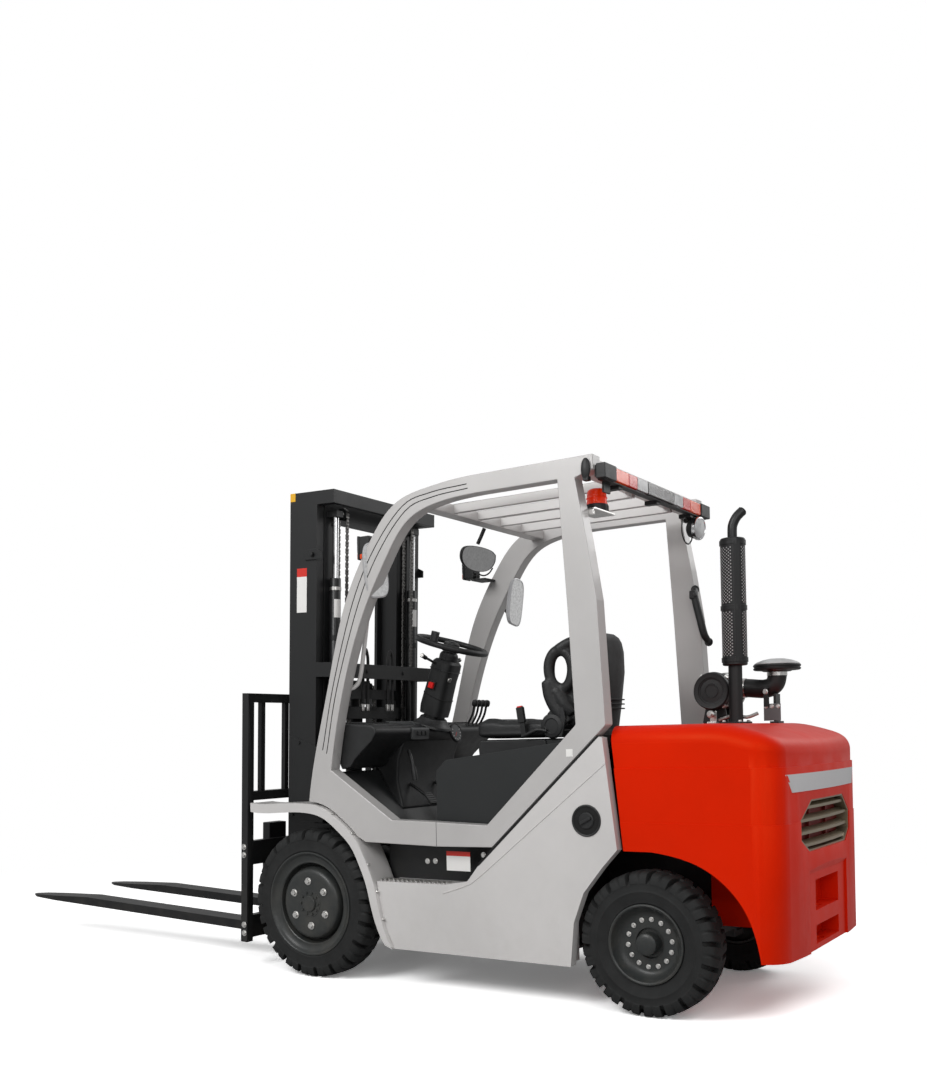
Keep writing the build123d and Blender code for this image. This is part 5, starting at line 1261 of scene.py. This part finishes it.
def make_sheaves():
    """Flanges and hub bolts on the chain sheaves of the middle mast and of the free lift head."""
    upper = Shape()
    for where, side in sides():
        for inset in (256, 278):
            upper.cylinder(29, 0, 2, BLACK, place((77, side * inset, 2195), (1, 0, 0), (0, side, 0)), 40, 0.5)
        pin = place((77, side * 254, 2195), (1, 0, 0), (0, -side, 0))
        upper.cylinder(13, -2, 7, ZINC, pin, 28, 1.5)
        upper.cylinder(6, 6, 9, BLACK, pin, 20, 0.8)
        pin = place((77, side * 280, 2195), (1, 0, 0), (0, side, 0))
        upper.cylinder(15, -1, 5, ZINC, pin, 28, 1.5)
        upper.bolt(pin @ Matrix.Translation((0, 0, 4)), 8, STEEL, False, 4)
    upper.done("mast_sheaves", "mast_middle", MAST)
    head = Shape()
    for where, side in sides():
        outer = place((212, side * 114, 1340), (1, 0, 0), (0, side, 0))
        head.cylinder(19, -1, 5, ZINC, outer, 30, 1.5)
        head.bolt(outer @ Matrix.Translation((0, 0, 4)), 11, STEEL, False, 5)
        for z in (1314, 1336, 1378):
            head.bolt(place((182, side * 66, z), (0, 1, 0), (-1, 0, 0)), 8, ZINC, True, 5)
    head.bolt(place((182, 0, 1331), (0, 1, 0), (-1, 0, 0)), 15, ZINC, True, 7)
    head.done("lift_head_bolts", "free_lift_head", MAST)


def barrel_band(shape, y, low, high, radius, material, spread=math.pi):
    """A thin band round a lift cylinder's barrel, or only on its rear where spread is less than pi."""
    centre_x = 83
    rows = []
    for k in range(33):
        a = math.pi - spread + 2 * spread * k / 32
        rows.append([(centre_x + r * math.cos(a), y + r * math.sin(a), z)
                     for r, z in ((radius - 1, low), (radius, low), (radius, high), (radius - 1, high))])
    shape.grid(rows, material, close_columns=True, caps=True)


def make_mast_trim():
    """Trim of the outer mast: cylinder labels and clamps, side labels, marker, bracket and lower plates."""
    trim = Shape()
    for where, side in sides():
        y = side * 315
        barrel_band(trim, y, 1690, 1778, 26.7, LABEL, 1.1)
        barrel_band(trim, y, 1822, 1838, 28.5, ZINC)
        for z in (640, 1580):
            barrel_band(trim, y, z, z + 24, 29, BLACK)
        low, high = sorted((side * 417.5, side * 418.9))
        trim.box((176, low, 1712), (238, high, 1884), LABEL, None, 0.3, 1)
        trim.box((176, low, 1884), (238, high, 1925), LABEL_RED, None, 0.3, 1)
        trim.box((252, low, 2250), (284, high, 2290), YELLOW, None, 0.3, 1)
        trim.side_prism([(62, 702), (276, 702), (276, 1112), (240, 1108), (62, 1052)],
                        *sorted((side * 417, side * 422)), BLACK, 1.5)
        for x, z in ((84, 1030), (214, 1082), (84, 730), (252, 730)):
            trim.bolt(place((x, side * 422, z), (1, 0, 0), (0, side, 0)), 8, BLACK, True, 5)
        trim.side_prism([(86, 1962), (186, 1962), (186, 2010), (120, 2014), (86, 1998)],
                        *sorted((side * 417, side * 426)), BLACK, 2)
        trim.cylinder(12, 0, 16, BLACK, place((136, side * 425, 1988), (1, 0, 0), (0, side, 0)), 24, 2)
        pin = place((0, side * 421, 343), (1, 0, 0), (0, side, 0))
        trim.cylinder(14, -6, 2, ZINC, pin, 24, 1)
    for y in (-150, 150):
        trim.bolt(place((12, y, 1435), (0, 1, 0), (-1, 0, 0)), 9, BLACK, True, 5)
    trim.done("mast_trim", "mast_outer", MAST)


def make_mast_hoses():
    """Two hydraulic hose loops on the middle mast, with a fitting at each end; they keep one shape."""
    hoses = Shape()
    for where, side in sides():
        inner = side * 83
        outer = side * 121
        line = [(62, inner, 1262), (62, inner, 1380), (62, inner, 1492), (62, inner + side * 9, 1532),
                (62, side * 102, 1548), (62, outer - side * 9, 1532), (62, outer, 1492), (62, outer, 1380),
                (62, outer, 1262)]
        hoses.tube(line, 8, HOSE, None, 16, 6)
        for y in (inner, outer):
            at = place((62, y, 1240), (1, 0, 0), (0, 0, 1))
            hoses.cylinder(9.5, 0, 34, ZINC, at, 20, 1)
            hoses.bolt(at, 11, ZINC, False, 12)
    hoses.done("mast_hoses", "mast_middle", MAST)


def make_carriage_trim():
    """Bolts on the carriage's side posts."""
    trim = Shape()
    for where, side in sides():
        for x, z in ((457, 569), (457, 530), (453, 188), (451, 148)):
            trim.bolt(place((x, side * 545, z), (1, 0, 0), (0, side, 0)), 11, ZINC, True, 6)
    trim.done("carriage_bolts", "carriage", MAST)


def make_guard_trim():
    """Grooves along the front pillars drawn as dark lines of painted shade, the dark joint above each side panel and
    the crease below it.
    """
    trim = Shape()
    pillar = (((-62, 1075), (-150, 1012)), ((-138, 1375), (-215, 1308)), ((-248, 1734), (-364, 1686)),
              ((-381, 1968), (-480, 1900)), ((-553, 2142), (-620, 2060)), ((-714, 2180), (-756, 2102)),
              ((-905, 2188), (-925, 2116)))
    for where, side in sides():
        y = side * 574.4
        for share in (0.34, 0.6):
            line = [(a[0] + (b[0] - a[0]) * share, y, a[1] + (b[1] - a[1]) * share) for a, b in pillar]
            # The grooves are near-black lines of painted shade.
            trim.tube(line, 2.4, SHADE_AND_GAP_BLACK, None, 8, 6)
        low, high = sorted((side * 574, side * 575.7))
        trim.side_prism([(-930, 556), (-1498, 1086), (-1505, 1094), (-1494, 1094), (-926, 566)], low, high, SHADE_AND_GAP_BLACK, 0)
        crease = [(-1529, y + side * 0.2, 986), (-1232, y + side * 0.2, 750), (-934, y + side * 0.2, 513),
                  (-860, y + side * 0.2, 470), (-744, y + side * 0.2, 431)]
        trim.tube(crease, 3.4, SILVER, None, 12, 6)
    trim.done("guard_grooves", "chassis")


make_chain("lift_chains_leaf", "lift_chains", "mast_middle", 77, 2195, 268, 26, 1480, 130)
make_chain("carriage_chains_leaf", "carriage_chains", "free_lift_head", 212, 1340, 103, 45, 690, 545)
make_sheaves()
make_mast_trim()
make_mast_hoses()
make_carriage_trim()
make_guard_trim()


# Stage, camera and light


def seen_rays(nodes, links, kinds):
    """1 where the ray is of one of these kinds."""
    path = nodes.new("ShaderNodeLightPath")
    result = path.outputs[kinds[0]]
    for kind in kinds[1:]:
        either = nodes.new("ShaderNodeMath")
        either.operation = "MAXIMUM"
        links.new(result, either.inputs[0])
        links.new(path.outputs[kind], either.inputs[1])
        result = either.outputs["Value"]
    return result


def make_floor():
    """A pale floor that reads white where nothing shades it and keeps the truck's shadow."""
    half = 60.0
    data = bpy.data.meshes.new("floor")
    data.from_pydata([(-half, -half, 0), (half, -half, 0), (half, half, 0), (-half, half, 0)], [], [(0, 1, 2, 3)])
    floor = bpy.data.objects.new("floor", data)
    bpy.context.scene.collection.objects.link(floor)
    material = bpy.data.materials.new("floor_pale")
    material.use_nodes = True
    nodes, links = nodes_of(material)
    nodes.remove(nodes["Principled BSDF"])
    own = nodes.new("ShaderNodeBsdfDiffuse")
    own.inputs["Color"].default_value = (0.55, 0.55, 0.55, 1)
    shaded_floor = nodes.new("ShaderNodeBsdfDiffuse")
    shaded_floor.inputs["Color"].default_value = (1.8, 1.8, 1.8, 1)
    glow = nodes.new("ShaderNodeEmission")
    glow.inputs["Strength"].default_value = 0.13
    near = nodes.new("ShaderNodeAddShader")
    links.new(shaded_floor.outputs["BSDF"], near.inputs[0])
    links.new(glow.outputs["Emission"], near.inputs[1])
    white = nodes.new("ShaderNodeEmission")
    white.inputs["Strength"].default_value = 1.0
    position = nodes.new("ShaderNodeNewGeometry")
    distance = nodes.new("ShaderNodeVectorMath")
    distance.operation = "LENGTH"
    links.new(position.outputs["Position"], distance.inputs[0])
    far = nodes.new("ShaderNodeMapRange")
    far.interpolation_type = "SMOOTHSTEP"
    far.inputs["From Min"].default_value = 2.6
    far.inputs["From Max"].default_value = 5.5
    links.new(distance.outputs["Value"], far.inputs["Value"])
    seen = nodes.new("ShaderNodeMixShader")
    links.new(far.outputs["Result"], seen.inputs["Fac"])
    links.new(near.outputs["Shader"], seen.inputs[1])
    links.new(white.outputs["Emission"], seen.inputs[2])
    both = nodes.new("ShaderNodeMixShader")
    links.new(seen_rays(nodes, links, ("Is Camera Ray", "Is Transmission Ray")), both.inputs["Fac"])
    links.new(own.outputs["BSDF"], both.inputs[1])
    links.new(seen.outputs["Shader"], both.inputs[2])
    links.new(both.outputs["Shader"], nodes["Material Output"].inputs["Surface"])
    data.materials.append(material)


def make_world(light_level, gloss_level):
    """An even pale studio for the light, plain white where the camera or a lens sees it."""
    world = bpy.data.worlds.new("studio")
    bpy.context.scene.world = world
    world.use_nodes = True
    nodes, links = world.node_tree.nodes, world.node_tree.links
    background = nodes["Background"]
    background.inputs["Color"].default_value = (1, 1, 1, 1)
    gloss = nodes.new("ShaderNodeMapRange")
    gloss.inputs["To Min"].default_value = light_level
    gloss.inputs["To Max"].default_value = gloss_level
    links.new(seen_rays(nodes, links, ("Is Glossy Ray",)), gloss.inputs["Value"])
    level = nodes.new("ShaderNodeMix")
    level.inputs["B"].default_value = 1.0
    links.new(seen_rays(nodes, links, ("Is Camera Ray", "Is Transmission Ray")), level.inputs["Factor"])
    links.new(gloss.outputs["Result"], level.inputs["A"])
    links.new(level.outputs["Result"], background.inputs["Strength"])


def make_lamp(name, position, target, size, power):
    light = bpy.data.lights.new(name, "AREA")
    light.shape = "RECTANGLE"
    light.size, light.size_y = size
    light.energy = power
    lamp = bpy.data.objects.new(name, light)
    lamp.location = position
    lamp.rotation_euler = (Vector(target) - Vector(position)).to_track_quat("-Z", "Y").to_euler()
    bpy.context.scene.collection.objects.link(lamp)


def make_camera():
    """The photo's view: 33 degrees round from square to the left side, level, with a slight roll."""
    frame_width, frame_height = 927, 1080
    focal_pixels = 1134.0
    centre_x, centre_y = 463.0, 737.6
    yaw, roll = math.radians(33.3), math.radians(1.27)
    position = Vector((front_wheel.x - 3.498, 4.582, 1.097))
    ahead = Vector((math.sin(yaw), -math.cos(yaw), 0))
    right = Vector((-math.cos(yaw), -math.sin(yaw), 0))
    up = Vector((0, 0, 1))
    camera_right = right * math.cos(roll) - up * math.sin(roll)
    camera_up = right * math.sin(roll) + up * math.cos(roll)
    data = bpy.data.cameras.new("camera")
    data.sensor_width = 36.0
    data.lens = focal_pixels * data.sensor_width / frame_height
    data.shift_x = (frame_width / 2 - centre_x) / frame_height
    data.shift_y = (centre_y - frame_height / 2) / frame_height
    data.clip_end = 200
    camera = bpy.data.objects.new("camera", data)
    camera.matrix_world = Matrix.Translation(position) @ Matrix(
        (camera_right, camera_up, -ahead)).transposed().to_4x4()
    bpy.context.scene.collection.objects.link(camera)
    bpy.context.scene.camera = camera


bpy.context.scene.view_settings.view_transform = "Standard"
make_floor()
make_world(light_level=0.4, gloss_level=0.55)
make_lamp("key", (0.6, 6.2, 5.2), (-0.7, 0, 0.9), (4.0, 3.0), 290)
make_lamp("fill", (-4.6, 4.0, 3.4), (-0.8, 0, 0.9), (3.5, 3.0), 70)
make_lamp("rim", (-4.0, -4.8, 4.8), (-0.8, 0, 1.0), (3.0, 3.0), 90)
make_camera()
